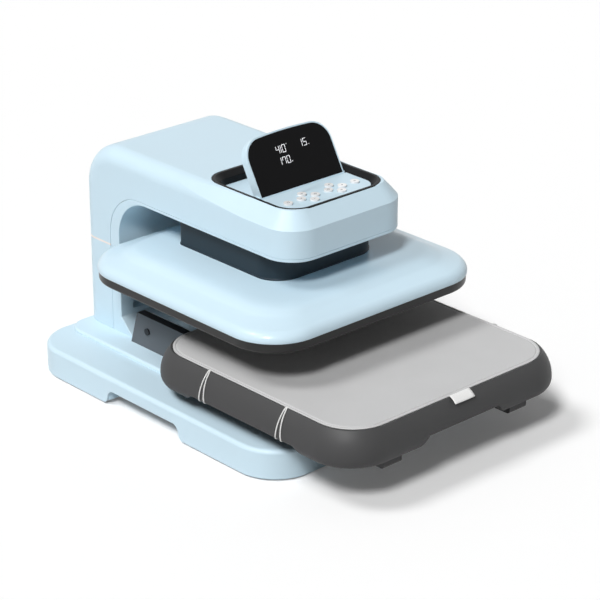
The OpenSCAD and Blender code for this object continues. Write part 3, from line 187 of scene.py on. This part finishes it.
def brushed(name, colour, rough, stretch=(4, 900, 900)):
    """Metal with fine brushed lines along one axis."""
    material, tree, shader = new_material(name)
    coords = coordinates(tree)
    mapping = add(tree, "ShaderNodeMapping")
    mapping.inputs["Scale"].default_value = stretch
    link(tree, coords, "Object", mapping, "Vector")
    lines = add(tree, "ShaderNodeTexNoise")
    lines.inputs["Scale"].default_value = 1.0
    lines.inputs["Detail"].default_value = 3.0
    link(tree, mapping, "Vector", lines, "Vector")
    colour_node = two_colours(tree, lines, "Fac", *(shade(colour, share) for share in BRUSH_COLOUR))
    link(tree, colour_node, "Color", shader, "Base Color")
    rough_node = spread(tree, lines, "Fac", *(rough * share for share in BRUSH_ROUGH))
    link(tree, rough_node, "Result", shader, "Roughness")
    shader.inputs["Metallic"].default_value = 1.0
    bump(tree, shader, lines, "Fac", BRUSH_STRENGTH, BRUSH_DEPTH)
    return material


def woven(name, colour, pitch, depth, sheen=0.3):
    """Plain weave: crossing threads, slight fuzz and colour drift."""
    material, tree, shader = new_material(name)
    coords = coordinates(tree)
    waves = []
    for axis in ("X", "Y"):
        wave = add(tree, "ShaderNodeTexWave", wave_type="BANDS", bands_direction=axis, wave_profile="SIN")
        wave.inputs["Scale"].default_value = WAVE_PER_THREAD / pitch
        wave.inputs["Distortion"].default_value = WAVE_BEND
        wave.inputs["Detail"].default_value = 1.0
        wave.inputs["Detail Scale"].default_value = WAVE_BEND_SCALE
        link(tree, coords, "Object", wave, "Vector")
        waves.append(wave)
    cross = add(tree, "ShaderNodeMath", operation="MULTIPLY")
    link(tree, waves[0], "Fac", cross, 0)
    link(tree, waves[1], "Fac", cross, 1)
    fuzz = noise(tree, coords, FUZZ_SCALE, FINE_DETAIL)
    drift = noise(tree, coords, BLOT_SCALE, BROAD_DETAIL)
    height = add(tree, "ShaderNodeMath", operation="MULTIPLY_ADD")
    link(tree, fuzz, "Fac", height, 0)
    height.inputs[1].default_value = FUZZ_SHARE
    link(tree, cross, "Value", height, 2)
    dark, light = (shade(colour, share) for share in THREAD_COLOUR)
    threads = two_colours(tree, height, "Value", dark, light, *THREAD_RANGE)
    blot = two_colours(tree, drift, "Fac", BLOT_DARK, WHITE)
    mix = add(tree, "ShaderNodeMix", data_type="RGBA", blend_type="MULTIPLY")
    mix.inputs[0].default_value = 1.0
    tree.links.new(threads.outputs["Color"], mix.inputs[6])
    tree.links.new(blot.outputs["Color"], mix.inputs[7])
    tree.links.new(mix.outputs[2], shader.inputs["Base Color"])
    rough_node = spread(tree, fuzz, "Fac", *CLOTH_ROUGH)
    link(tree, rough_node, "Result", shader, "Roughness")
    shader.inputs["Sheen Weight"].default_value = sheen
    shader.inputs["Sheen Roughness"].default_value = SHEEN_ROUGH
    bump(tree, shader, height, "Value", WEAVE_STRENGTH, depth)
    return material


def moulded_with_top_shade(name, side, top):
    """Moulded surface whose faces that look up are painted near black as shade."""
    material, tree, shader = new_material(name)
    coords = coordinates(tree)
    broad = noise(tree, coords, BED_BROAD, BROAD_DETAIL)
    fine = noise(tree, coords, BED_GRAIN, FINE_DETAIL)
    wall = two_colours(tree, broad, "Fac", *(shade(side, share) for share in BED_COLOUR))
    parts = add(tree, "ShaderNodeSeparateXYZ")
    link(tree, coords, "Normal", parts, "Vector")
    top_shade_share = spread(tree, parts, "Z", 0, 1, *TOP_SHADE_RANGE)
    mix = add(tree, "ShaderNodeMix", data_type="RGBA")
    link(tree, top_shade_share, "Result", mix, 0)
    tree.links.new(wall.outputs["Color"], mix.inputs[6])
    mix.inputs[7].default_value = (*top, 1)
    tree.links.new(mix.outputs[2], shader.inputs["Base Color"])
    rough_node = spread(tree, broad, "Fac", *BED_ROUGH)
    link(tree, rough_node, "Result", shader, "Roughness")
    shader.inputs["Specular IOR Level"].default_value = BED_GLOSS
    bump(tree, shader, fine, "Fac", GRAIN_STRENGTH, BED_DEPTH)
    return material


def glowing(name, colour, strength):
    """Lit figures behind the dark glass, with a slight unevenness."""
    material, tree, shader = new_material(name)
    coords = coordinates(tree)
    patch = noise(tree, coords, PATCH_SCALE, 1)
    colour_node = two_colours(tree, patch, "Fac", shade(colour, PATCH_DARK), colour)
    link(tree, colour_node, "Color", shader, "Emission Color")
    link(tree, colour_node, "Color", shader, "Base Color")
    shader.inputs["Emission Strength"].default_value = strength
    return material


BLUE = (0.585, 0.745, 0.840)
MATERIALS = {
    "body": moulded("body_plastic", BLUE, 0.4, coat=0.08, coat_rough=0.25, gloss=0.3, vary=0.012),
    "platen": moulded("platen_plastic", BLUE, 0.3, coat=0.12, coat_rough=0.08, gloss=0.25, depth=0.000001,
        vary=0.003, drift=0.01),
    "band": moulded("band_plastic", (0.86, 0.80, 0.77), 0.4),
    "dark": moulded("tray_plastic", (0.046, 0.046, 0.047), 0.58, grain=1300, depth=0.00005,
        vary=0.05, gloss=0.35),
    # The slide bed's upward faces are painted near black as shade; its sides keep the moulded colour.
    "bed": moulded_with_top_shade("bed_plastic_top_shade", (0.115, 0.128, 0.142), (0.006, 0.006, 0.007)),
    "slate": moulded("neck_plastic", (0.014, 0.026, 0.036), 0.4, grain=1100, vary=0.05, gloss=0.25),
    "black": moulded("black_plastic", (0.006, 0.006, 0.007), 0.4, grain=1200, vary=0.08, gloss=0.12),
    "ring": moulded("ring_plastic", (0.013, 0.013, 0.013), 0.34, grain=1200, vary=0.06, gloss=0.35),
    "coated": moulded("coated_plate", (0.03, 0.03, 0.031), 0.55, grain=1500, depth=0.00004,
        vary=0.06, gloss=0.3),
    "keys": moulded("key_plastic", (0.86, 0.86, 0.86), 0.28, coat=0.3, vary=0.015),
    "rubber": moulded("foot_rubber", (0.025, 0.025, 0.026), 0.75, grain=1500, depth=0.0001,
        vary=0.1, gloss=0.3),
    "board": moulded("board_mask", (0.02, 0.12, 0.05), 0.35, vary=0.1),
    "insulation": moulded("fibre_board", (0.62, 0.57, 0.46), 0.9, grain=700, depth=0.0002, vary=0.08),
    "screws": moulded("screw_black", (0.03, 0.03, 0.032), 0.35, metal=0.8, vary=0.1),
    "steel": brushed("plain_steel", (0.55, 0.56, 0.58), 0.34),
    "aluminium": brushed("plain_aluminium", (0.74, 0.75, 0.77), 0.32),
    "brass": brushed("plain_brass", (0.72, 0.53, 0.25), 0.3),
    "pad": woven("pad_fabric", (0.60, 0.60, 0.602), 0.0017, 0.00012),
    "tag": woven("tag_fabric", (0.90, 0.90, 0.89), 0.0005, 0.00005),
    "elastic": woven("elastic_braid", (0.80, 0.80, 0.79), 0.0007, 0.0002),
    "glass": moulded("display_glass", (0.004, 0.004, 0.0045), 0.2, grain=60, depth=0.000001,
        vary=0.1, gloss=0.07),
    "figures": glowing("lit_figures", (0.95, 0.96, 1.0), 0.68),
    "icons": moulded("icon_ink", (0.10, 0.11, 0.13), 0.5, vary=0.15),
}

SLOT_MATERIAL = {"body": "body", "band": "band", "steel": "steel", "screws": "screws",
    "aluminium": "aluminium", "brass": "brass", "rubber": "rubber", "slate": "slate", "dark": "dark",
    "black": "black", "board": "board", "insulation": "insulation", "glass": "glass", "pad": "pad",
    "elastic": "elastic", "keys": "keys"}
NODE_MATERIAL = {"slide_bed": "bed", "platen_cover": "platen", "platen_ring": "ring", "pad_tag": "tag",
    "heat_plate": "coated"}


def give(obj, key):
    obj.data.materials.clear()
    obj.data.materials.append(MATERIALS[key])


def dress_nodes():
    for row in frame["record"]["subparts"]:
        name = row["node"]
        give(NODES[name], NODE_MATERIAL.get(name, SLOT_MATERIAL[row["material_slot"]]))


# Rounded edges of the solids, in millimetres
EDGE = {"base_shell": 1.2, "arm_cover": 0.8, "column_cover": 0.8, "throat_liner": 1.2, "column_front": 1.0,
    "head_floor": 1.0, "rear_panel": 0.6, "bezel": 0.5, "key_panel": 0.6, "display_shell": 1.4,
    "display_glass": 0.3, "drawer_tray": 1.2, "platen_ring": 0.6, "neck_shroud": 0.5,
    "power_inlet": 0.8, "switch_housing": 0.5, "power_rocker": 0.6, "cover_screws": 0.5, "base_feet": 1.5,
    "heat_plate": 0.6, "display_well": 0.4}
KEY_EDGE = 0.9
EDGE_SEGMENTS = 3
# Edges sharper than this many degrees are rounded
EDGE_ANGLE = 32
# Points closer than this many metres are one point
WELD_GAP = 0.00002


def soften(obj, width):
    weld = obj.modifiers.new("weld", "WELD")
    weld.merge_threshold = WELD_GAP
    edge = obj.modifiers.new("edge", "BEVEL")
    edge.width = width * MM
    edge.segments = EDGE_SEGMENTS
    edge.limit_method = "ANGLE"
    edge.angle_limit = math.radians(EDGE_ANGLE)
    edge.use_clamp_overlap = True
    normals = obj.modifiers.new("normals", "WEIGHTED_NORMAL")
    normals.keep_sharp = True


def soften_nodes():
    for name, width in EDGE.items():
        soften(NODES[name], width)
    for name, obj in NODES.items():
        if name.startswith("key_") and name != "key_panel":
            soften(obj, KEY_EDGE)


# Mesh helpers

def mesh_object(name, verts, faces, key, smooth=True):
    mesh = bpy.data.meshes.new(name)
    mesh.from_pydata([Vector(v) * MM for v in verts], [], faces)
    mesh.validate()
    obj = bpy.data.objects.new(name, mesh)
    bpy.context.scene.collection.objects.link(obj)
    for polygon in mesh.polygons:
        polygon.use_smooth = smooth
    give(obj, key)
    return obj


# Steps round a corner and along a side of a rounded loop
CORNER_STEPS = 32
SIDE_STEPS = 40


def rounded_loop(w, d, r, y, z):
    """Points of a rounded rectangle, counter-clockwise, evenly stepped along sides and corners."""
    points = []
    hx, hy = w / 2 - r, d / 2 - r
    corners = [(hx, hy, 0), (-hx, hy, 90), (-hx, -hy, 180), (hx, -hy, 270)]
    for k, (cx, cy, start) in enumerate(corners):
        for i in range(CORNER_STEPS + 1):
            a = math.radians(start + 90 * i / CORNER_STEPS)
            points.append((cx + r * math.cos(a), y + cy + r * math.sin(a), z))
        nx, ny, turn = corners[(k + 1) % 4]
        ax, ay = points[-1][0], points[-1][1]
        b = math.radians(turn)
        bx, by = nx + r * math.cos(b), y + ny + r * math.sin(b)
        for i in range(1, SIDE_STEPS):
            t = i / SIDE_STEPS
            points.append((ax + (bx - ax) * t, ay + (by - ay) * t, z))
    return points


def loft(name, loops, key, cap_first=True, cap_last=True):
    n = len(loops[0])
    verts = [p for loop in loops for p in loop]
    faces = []
    for i in range(len(loops) - 1):
        for k in range(n):
            m = (k + 1) % n
            faces.append((i * n + k, i * n + m, (i + 1) * n + m, (i + 1) * n + k))
    if cap_first:
        faces.append(tuple(reversed(range(n))))
    if cap_last:
        faces.append(tuple(range((len(loops) - 1) * n, len(loops) * n)))
    return mesh_object(name, verts, faces, key)


# Platen cover: a soft shoulder, a second soft step and a flat glossy top

# Inset and height above the rim along the cover's soft slope
COVER_SLOPE = [(20, 18.8), (28, 21.8), (34, 25.0), (40, 27.7), (47, 29.4), (58, 30.5), (76, 31.0)]
COVER_SLOPE_STEPS = 8
# Inset and height of the rounded lower lip, and insets of the flat top
COVER_LIP = [(0.6, 0), (0.15, 0.2), (0, 0.7)]
COVER_FLAT = (92, 110)
COVER_EDGE_R = 14
COVER_SKIRT = 2
COVER_ARC = 76
COVER_ARC_STEPS = 16
# The corner radius shrinks by this share of the inset, to no less than the second value
COVER_CORNER = 0.4
COVER_CORNER_MIN = 22


def eased(points, steps):
    """Points along a smooth line through the given ones."""
    out = []
    for k in range(len(points) - 1):
        a, b = points[max(k - 1, 0)], points[k]
        c, d = points[k + 1], points[min(k + 2, len(points) - 1)]
        for i in range(steps):
            t = i / steps
            out.append(tuple(0.5 * (2 * q + (r - p) * t + (2 * p - 5 * q + 4 * r - u) * t ** 2
                + (3 * q - p - 3 * r + u) * t ** 3) for p, q, r, u in zip(a, b, c, d)))
    return out + [points[-1]]


def cover_line():
    """Inset and height of the cover's outer line, from the rim inwards."""
    rim = PLATEN["rim"]
    line = COVER_LIP + [(0, COVER_SKIRT)]
    for i in range(1, COVER_ARC_STEPS + 1):
        a = math.radians(COVER_ARC * i / COVER_ARC_STEPS)
        line.append((COVER_EDGE_R * (1 - math.cos(a)), COVER_SKIRT + COVER_EDGE_R * math.sin(a)))
    line += eased([line[-1]] + COVER_SLOPE, COVER_SLOPE_STEPS)[1:]
    line += [(inset, COVER_SLOPE[-1][1]) for inset in COVER_FLAT]
    return [(inset, rim + rise) for inset, rise in line]


def make_platen_cover():
    w, d, r, y = PLATEN["w"], PLATEN["d"], PLATEN["r"], PLATEN["y"]
    loops = []
    for inset, z in cover_line():
        corner = max(r - COVER_CORNER * inset, COVER_CORNER_MIN)
        loops.append(rounded_loop(w - 2 * inset, d - 2 * inset, corner, y, z))
    inner = PLATEN["wall"]
    under = rounded_loop(w - 2 * inner, d - 2 * inner, r - inner, y, PLATEN["rim"])
    cover = loft("platen_cover_skin", [under] + loops, "platen", cap_first=False, cap_last=True)
    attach(cover, "press")
    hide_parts("platen_cover")
    return cover


# Pad: foam in a sewn cover, with a hem and a seam round its edge

# Inset and height of the pad's outer line, from its seat to the middle

PAD_LINE = [(0.8, 103.5), (0.1, 104.2), (0.3, 107), (0.6, 110.5), (1.0, 112.6), (1.3, 113.3), (1.2, 113.9),
    (0.4, 114.1), (0.0, 114.5), (0.1, 114.95), (0.6, 115.35), (1.5, 115.6), (2.6, 115.65), (3.4, 115.5),
    (3.8, 115.0), (4.1, 114.3), (4.7, 114.3), (5.0, 115.0), (5.4, 115.5), (6.2, 115.65), (8, 115.65),
    (11, 115.55), (16, 115.4), (24, 115.3), (36, 115.2), (52, 115.1), (80, 115.1), (120, 115.1),
    (160, 115.1)]
PAD_CORNER_MIN = 12


def make_pad():
    w, d, r, y = PAD["w"], PAD["d"], PAD["r"], PAD["y"]
    loops = []
    for inset, z in PAD_LINE:
        loops.append(rounded_loop(w - 2 * inset, d - 2 * inset, max(r - inset, PAD_CORNER_MIN), y, z))
    pad = loft("press_pad", loops, "pad")
    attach(pad, "drawer")
    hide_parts("pad_cover", "pad_core")
    return pad


# Elastic loops that hold the pad's cover down

CORD_R = 0.9
# Places of the loops along the pad, and half the distance of a loop's strands at their lower end
CORD_Y = (76, -73)
CORD_SPREAD = 5
# Distance outside the pad, share of the spread, and height, where a strand comes out of the hem
CORD_START = [(-0.9, 0.1, 114.8), (0.5, 0.14, 115.0), (1.7, 0.2, 114.9), (2.7, 0.24, 114.2)]
# Upper and lower height on the tray's side, and the share of the spread at the upper one
CORD_HIGH = 112.6
CORD_LOW = 75.6
CORD_TOP_SHARE = 0.28
CORD_STEPS = 10
# Distance inside the tray's side and height where a strand turns under the tray
CORD_HOOK = [(0.6, 73.9), (3.5, 73.6)]


def lean_radius(height, lean):
    return (height * height + lean * lean) / (2 * lean)


def tray_side(z):
    upper = lean_radius(TRAY["rim"] - TRAY["bulge"], TRAY["lean"])
    lower = lean_radius(TRAY["bulge"] - TRAY["leg"], TRAY["tuck"])
    r = upper if z > TRAY["bulge"] else lower
    dz = z - TRAY["bulge"]
    return TRAY["w"] / 2 - r + math.sqrt(r * r - dz * dz)


def cord_points(side, spread_y, y):
    points = [(PAD["w"] / 2 + out, spread_y * share, z) for out, share, z in CORD_START]
    bend = lean_radius(TRAY["rim"] - TRAY["bulge"], TRAY["lean"])
    for i in range(CORD_STEPS + 1):
        t = i / CORD_STEPS
        z = CORD_HIGH + (CORD_LOW - CORD_HIGH) * t
        rise = max(z - TRAY["bulge"], 0) / bend
        out = tray_side(z) + CORD_R * math.sqrt(1 - rise * rise)
        points.append((out, spread_y * (CORD_TOP_SHARE + (1 - CORD_TOP_SHARE) * t), z + CORD_R * rise))
    points += [(tray_side(CORD_LOW) - inside, spread_y, z) for inside, z in CORD_HOOK]
    return [Vector((side * x, y + dy, z)) * MM for x, dy, z in points]


def make_cords():
    curve = bpy.data.curves.new("elastic_loops", "CURVE")
    curve.dimensions = "3D"
    curve.bevel_depth = CORD_R * MM
    curve.bevel_resolution = 4
    curve.resolution_u = 6
    for side in (-1, 1):
        for y in CORD_Y:
            for strand in (-CORD_SPREAD, CORD_SPREAD):
                points = cord_points(side, strand, PAD["y"] + y)
                spline = curve.splines.new("NURBS")
                spline.points.add(len(points) - 1)
                for p, co in zip(spline.points, points):
                    p.co = (*co, 1)
                spline.use_endpoint_u = True
                spline.order_u = 4
    curve.use_fill_caps = True
    cords = bpy.data.objects.new("elastic_loops", curve)
    bpy.context.scene.collection.objects.link(cords)
    give(cords, "elastic")
    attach(cords, "drawer")
    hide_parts("elastic_cords")
    return cords


# Bare fabric tag on the pad's front edge

# Width, thickness, and the middle line: distance in front of the pad and height
TAG = {"x": 2, "w": 36, "t": 0.5}
TAG_LINE = [(-1.4, 114.5), (-0.2, 114.65), (1.0, 114.5), (2.6, 113.8), (4.4, 112.7), (6.2, 111.4),
    (8.0, 110.0), (9.8, 108.3), (11.2, 106.8)]
TAG_ACROSS = 12
# Height, turns across the width in half circles, start, and the drop at which the tag's wave is full
TAG_WAVE = {"height": 0.25, "turns": 2.2, "start": 0.6, "drop": 12}


def tag_line():
    front = PAD["y"] - PAD["d"] / 2
    return [(front - out, z) for out, z in TAG_LINE]


def make_tag():
    line = tag_line()
    across = TAG_ACROSS
    verts, faces = [], []
    for layer in (0, 1):
        for y, z in line:
            for i in range(across + 1):
                s = i / across
                wave = TAG_WAVE["height"] * math.sin(s * math.pi * TAG_WAVE["turns"] + TAG_WAVE["start"])
                x = TAG["x"] - TAG["w"] / 2 + TAG["w"] * s
                verts.append((x, y, z + wave * (line[0][1] - z) / TAG_WAVE["drop"] + layer * TAG["t"]))
    rows, cols = len(line), across + 1
    size = rows * cols
    for layer in (0, 1):
        for a in range(rows - 1):
            for b in range(across):
                k = layer * size + a * cols + b
                face = (k, k + 1, k + cols + 1, k + cols)
                faces.append(face if layer else tuple(reversed(face)))
    rim = [a * cols for a in range(rows)] + [(rows - 1) * cols + b for b in range(1, cols)]
    rim += [a * cols + across for a in range(rows - 2, -1, -1)] + [b for b in range(across - 1, 0, -1)]
    for i, a in enumerate(rim):
        b = rim[(i + 1) % len(rim)]
        faces.append((a, b, b + size, a + size))
    tag = mesh_object("bare_tag", verts, faces, "tag")
    bm = bmesh.new()
    bm.from_mesh(tag.data)
    bmesh.ops.recalc_face_normals(bm, faces=bm.faces)
    bm.to_mesh(tag.data)
    bm.free()
    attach(tag, "drawer")
    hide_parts("pad_tag")
    return tag


# Figures on the display

SEGMENTS = {"0": "abcdef", "1": "bc", "2": "abged", "3": "abgcd", "4": "fgbc", "5": "afgcd", "6": "afgedc",
    "7": "fabc", "8": "abcdefg", "9": "abcdfg"}


def segment_bars(w, h, t):
    half = h / 2
    return {"a": (0, h - t, w, h), "d": (0, 0, w, t), "g": (0, half - t / 2, w, half + t / 2),
        "f": (0, half, t, h), "e": (0, 0, t, half), "b": (w - t, half, w, h), "c": (w - t, 0, w, half)}


def display_matrix():
    place = Matrix.Translation(Vector((0, DISPLAY["y"], DISPLAY["z"])) * MM)
    return place @ Matrix.Rotation(math.radians(DISPLAY["tilt"]), 4, "X")


def plate(verts, faces, outline, z0, z1):
    """Adds a thin prism on an outline to the lists."""
    start, n = len(verts), len(outline)
    verts += [(x, y, z0) for x, y in outline] + [(x, y, z1) for x, y in outline]
    faces.append(tuple(start + i for i in reversed(range(n))))
    faces.append(tuple(start + n + i for i in range(n)))
    for i in range(n):
        m = (i + 1) % n
        faces.append((start + i, start + m, start + n + m, start + n + i))


def bar_outline(x0, y0, x1, y1, lean, gap=0.18, cut=0.35):
    """A segment with cut ends, leaning to the right."""
    if x1 - x0 > y1 - y0:
        mid = (y0 + y1) / 2
        pts = [(x0 + gap, mid), (x0 + gap + cut, y0), (x1 - gap - cut, y0), (x1 - gap, mid),
            (x1 - gap - cut, y1), (x0 + gap + cut, y1)]
    else:
        mid = (x0 + x1) / 2
        pts = [(mid, y0 + gap), (x1, y0 + gap + cut), (x1, y1 - gap - cut), (mid, y1 - gap),
            (x0, y1 - gap - cut), (x0, y0 + gap + cut)]
    return [(x + lean * y, y) for x, y in pts]


# Text, left end and lower end on the glass, height
FIGURES = [("410", -24, 50, 10.5), ("170", -22, 34.5, 10.0), ("15", 21.5, 50.5, 10.0)]
# Place and radius of the round marks beside the figures
SMALL_MARKS = [(-4.0, 60.0, 0.4), (-3.0, 35.6, 0.6), (33.4, 51.2, 0.45)]
FIGURE_W = {"1": 0.8}
FIGURE_WIDE = 5.6
FIGURE_STEP = 2.1
FIGURE_LINE = 0.58
FIGURE_LEAN = 0.06
# Heights of the figures' back and front over the glass
FIGURE_BACK = 0.02
FIGURE_FRONT = 0.16
MARK_SIDES = 16


def make_figures():
    verts, faces = [], []
    z0, z1 = DISPLAY["face"] + FIGURE_BACK, DISPLAY["face"] + FIGURE_FRONT
    for text, x, v, h in FIGURES:
        for digit in text:
            w = FIGURE_W.get(digit, FIGURE_WIDE)
            bars = segment_bars(w, h, FIGURE_LINE)
            for name in SEGMENTS[digit]:
                a, b, c, d = bars[name]
                outline = bar_outline(a, b, c, d, FIGURE_LEAN)
                plate(verts, faces, [(x + px, v + py) for px, py in outline], z0, z1)
            x += w + FIGURE_STEP
    for x, v, r in SMALL_MARKS:
        turns = [k * 2 * math.pi / MARK_SIDES for k in range(MARK_SIDES)]
        ring = [(x + r * math.cos(turn), v + r * math.sin(turn)) for turn in turns]
        plate(verts, faces, ring, z0, z1)
    figures = mesh_object("display_figures", verts, faces, "figures", smooth=False)
    figures.matrix_world = display_matrix()
    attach(figures, "display")
    return figures


# Icons on the keys

RING_STEPS = 20


def arc(r, start, stop):
    turns = [math.radians(start + (stop - start) * i / RING_STEPS) for i in range(RING_STEPS + 1)]
    return [(r * math.cos(turn), r * math.sin(turn)) for turn in turns]


def ring_sector(r0, r1, start, stop):
    return arc(r1, start, stop) + arc(r0, stop, start)


def rectangle(x0, y0, x1, y1):
    return [(x0, y0), (x1, y0), (x1, y1), (x0, y1)]


# Outlines of the signs in millimetres, from the key's middle
ICONS = {
    "power": [ring_sector(1.5, 2.0, 125, 415), rectangle(-0.25, 0.6, 0.25, 2.4)],
    "plus": [rectangle(-1.8, -0.27, 1.8, 0.27), rectangle(-0.27, 0.27, 0.27, 1.8),
        rectangle(-0.27, -1.8, 0.27, -0.27)],
    "minus": [rectangle(-1.8, -0.27, 1.8, 0.27)],
    "up": [[(-1.7, -0.9), (1.7, -0.9), (0, 1.5)]],
    "down": [[(-1.7, 0.9), (0, -1.5), (1.7, 0.9)]],
    "clock": [ring_sector(1.5, 1.95, 0, 180), ring_sector(1.5, 1.95, 180, 360), rectangle(-0.2, 0, 0.2, 1.2),
        rectangle(0.2, 0, 0.95, 0.35)],
    "bars": [rectangle(-1.1, -1.5, -0.45, 1.5), rectangle(0.45, -1.5, 1.1, 1.5)],
    "dot": [ring_sector(0.0001, 1.1, 0, 359.9)],
}
KEY_ICONS = {"key_left": "power", "key_a_rear": "plus", "key_a_front": "minus", "key_a_left": "dot",
    "key_a_right": "clock", "key_b_rear": "up", "key_b_front": "down", "key_b_left": "clock",
    "key_b_right": "dot", "key_right": "bars"}
# How far a sign reaches into its key and stands over it
INK_BELOW = 0.02
INK_ABOVE = 0.08


def make_icons():
    for key, icon in KEY_ICONS.items():
        low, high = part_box(key)
        centre = (low + high) / 2 / MM
        verts, faces = [], []
        for outline in ICONS[icon]:
            placed = [(centre.x + x, centre.y + y) for x, y in outline]
            plate(verts, faces, placed, KEY_TOP - INK_BELOW, KEY_TOP + INK_ABOVE)
        mark = mesh_object("icon_" + key, verts, faces, "icons", smooth=False)
        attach(mark, "b_" + key)


# Stage, light and camera

# The floor's tone for the light on the object and as it is seen, and its glow as it is seen
FLOOR_TONE = 0.55
FLOOR_SEEN = 1.0
FLOOR_GLOW = 0.08
FLOOR_ROUGH = 0.9
# Half the floor's side in metres
FLOOR_HALF = 30
WORLD_STRENGTH = 0.15
# Name, direction of travel, strength and angle of each soft light
SUNS = [("key_sun", (0.85, 0.48, -1.0), 2.2, 12), ("side_sun", (0.6, -0.22, -1.0), 1.3, 18)]
SUN_DISTANCE = 3
CAMERA_PLACE = (-1.9936, -2.2471, 1.4270)
CAMERA_AZIMUTH = -42.63
CAMERA_ELEVATION = 23.48
CAMERA_LENS = 141.7
CAMERA_SENSOR = 36
CAMERA_FAR = 100


def floor_material():
    """Pale floor: white where the camera or a reflection sees it in full light, with the object's shadow."""
    material, tree, shader = new_material("pale_floor")
    shader.inputs["Roughness"].default_value = FLOOR_ROUGH
    shader.inputs["Specular IOR Level"].default_value = 0.0
    seen = seen_directly(tree)
    tone = add(tree, "ShaderNodeMapRange")
    link(tree, seen, "Value", tone, "Value")
    tone.inputs["To Min"].default_value = FLOOR_TONE
    tone.inputs["To Max"].default_value = FLOOR_SEEN
    link(tree, tone, "Result", shader, "Base Color")
    glow = add(tree, "ShaderNodeEmission")
    glow.inputs["Color"].default_value = (1, 1, 1, 1)
    glow.inputs["Strength"].default_value = 1.0
    share = add(tree, "ShaderNodeMath", operation="MULTIPLY")
    link(tree, seen, "Value", share, 0)
    share.inputs[1].default_value = FLOOR_GLOW
    mix = add(tree, "ShaderNodeMixShader")
    link(tree, share, "Value", mix, 0)
    link(tree, shader, "BSDF", mix, 1)
    link(tree, glow, "Emission", mix, 2)
    output = next(n for n in tree.nodes if n.type == "OUTPUT_MATERIAL")
    link(tree, mix, "Shader", output, "Surface")
    return material


def seen_directly(tree):
    """1 for camera, glossy and transmission rays, 0 for the light that falls on the object."""
    paths = add(tree, "ShaderNodeLightPath")
    first = add(tree, "ShaderNodeMath", operation="MAXIMUM")
    link(tree, paths, "Is Camera Ray", first, 0)
    link(tree, paths, "Is Glossy Ray", first, 1)
    both = add(tree, "ShaderNodeMath", operation="MAXIMUM")
    link(tree, first, "Value", both, 0)
    link(tree, paths, "Is Transmission Ray", both, 1)
    return both


def make_floor():
    mesh = bpy.data.meshes.new("floor")
    half = FLOOR_HALF
    corners = [(-half, -half, 0), (half, -half, 0), (half, half, 0), (-half, half, 0)]
    mesh.from_pydata(corners, [], [(0, 1, 2, 3)])
    floor = bpy.data.objects.new("floor", mesh)
    bpy.context.scene.collection.objects.link(floor)
    mesh.materials.append(floor_material())


def make_world():
    world = bpy.data.worlds.new("studio")
    bpy.context.scene.world = world
    world.use_nodes = True
    tree = world.node_tree
    back = next(n for n in tree.nodes if n.type == "BACKGROUND")
    back.inputs["Color"].default_value = (1.0, 1.0, 1.0, 1)
    strength = add(tree, "ShaderNodeMapRange")
    link(tree, seen_directly(tree), "Value", strength, "Value")
    strength.inputs["To Min"].default_value = WORLD_STRENGTH
    strength.inputs["To Max"].default_value = 1.0
    link(tree, strength, "Result", back, "Strength")


def aim(obj, place, target):
    obj.location = place
    obj.rotation_mode = "QUATERNION"
    obj.rotation_quaternion = (Vector(target) - Vector(place)).to_track_quat("-Z", "Y")


def lamp_object(name, lamp):
    obj = bpy.data.objects.new(name, lamp)
    bpy.context.scene.collection.objects.link(obj)
    return obj


def make_lamps():
    for name, travel, strength, angle in SUNS:
        sun = bpy.data.lights.new(name, "SUN")
        sun.energy = strength
        sun.angle = math.radians(angle)
        aim(lamp_object(name, sun), -SUN_DISTANCE * Vector(travel).normalized(), (0, 0, 0))


def make_camera():
    data = bpy.data.cameras.new("camera")
    data.lens = CAMERA_LENS
    data.sensor_width = CAMERA_SENSOR
    data.clip_end = CAMERA_FAR
    camera = bpy.data.objects.new("camera", data)
    bpy.context.scene.collection.objects.link(camera)
    a, e = math.radians(CAMERA_AZIMUTH), math.radians(CAMERA_ELEVATION)
    back = Vector((math.sin(a) * math.cos(e), -math.cos(a) * math.cos(e), math.sin(e)))
    camera.location = CAMERA_PLACE
    camera.rotation_mode = "QUATERNION"
    camera.rotation_quaternion = (-back).to_track_quat("-Z", "Y")
    bpy.context.scene.camera = camera


make_camera()
dress_nodes()
soften_nodes()
make_platen_cover()
make_pad()
make_cords()
make_tag()
make_figures()
make_icons()
make_floor()
make_world()
make_lamps()
bpy.context.scene.view_settings.view_transform = "Standard"
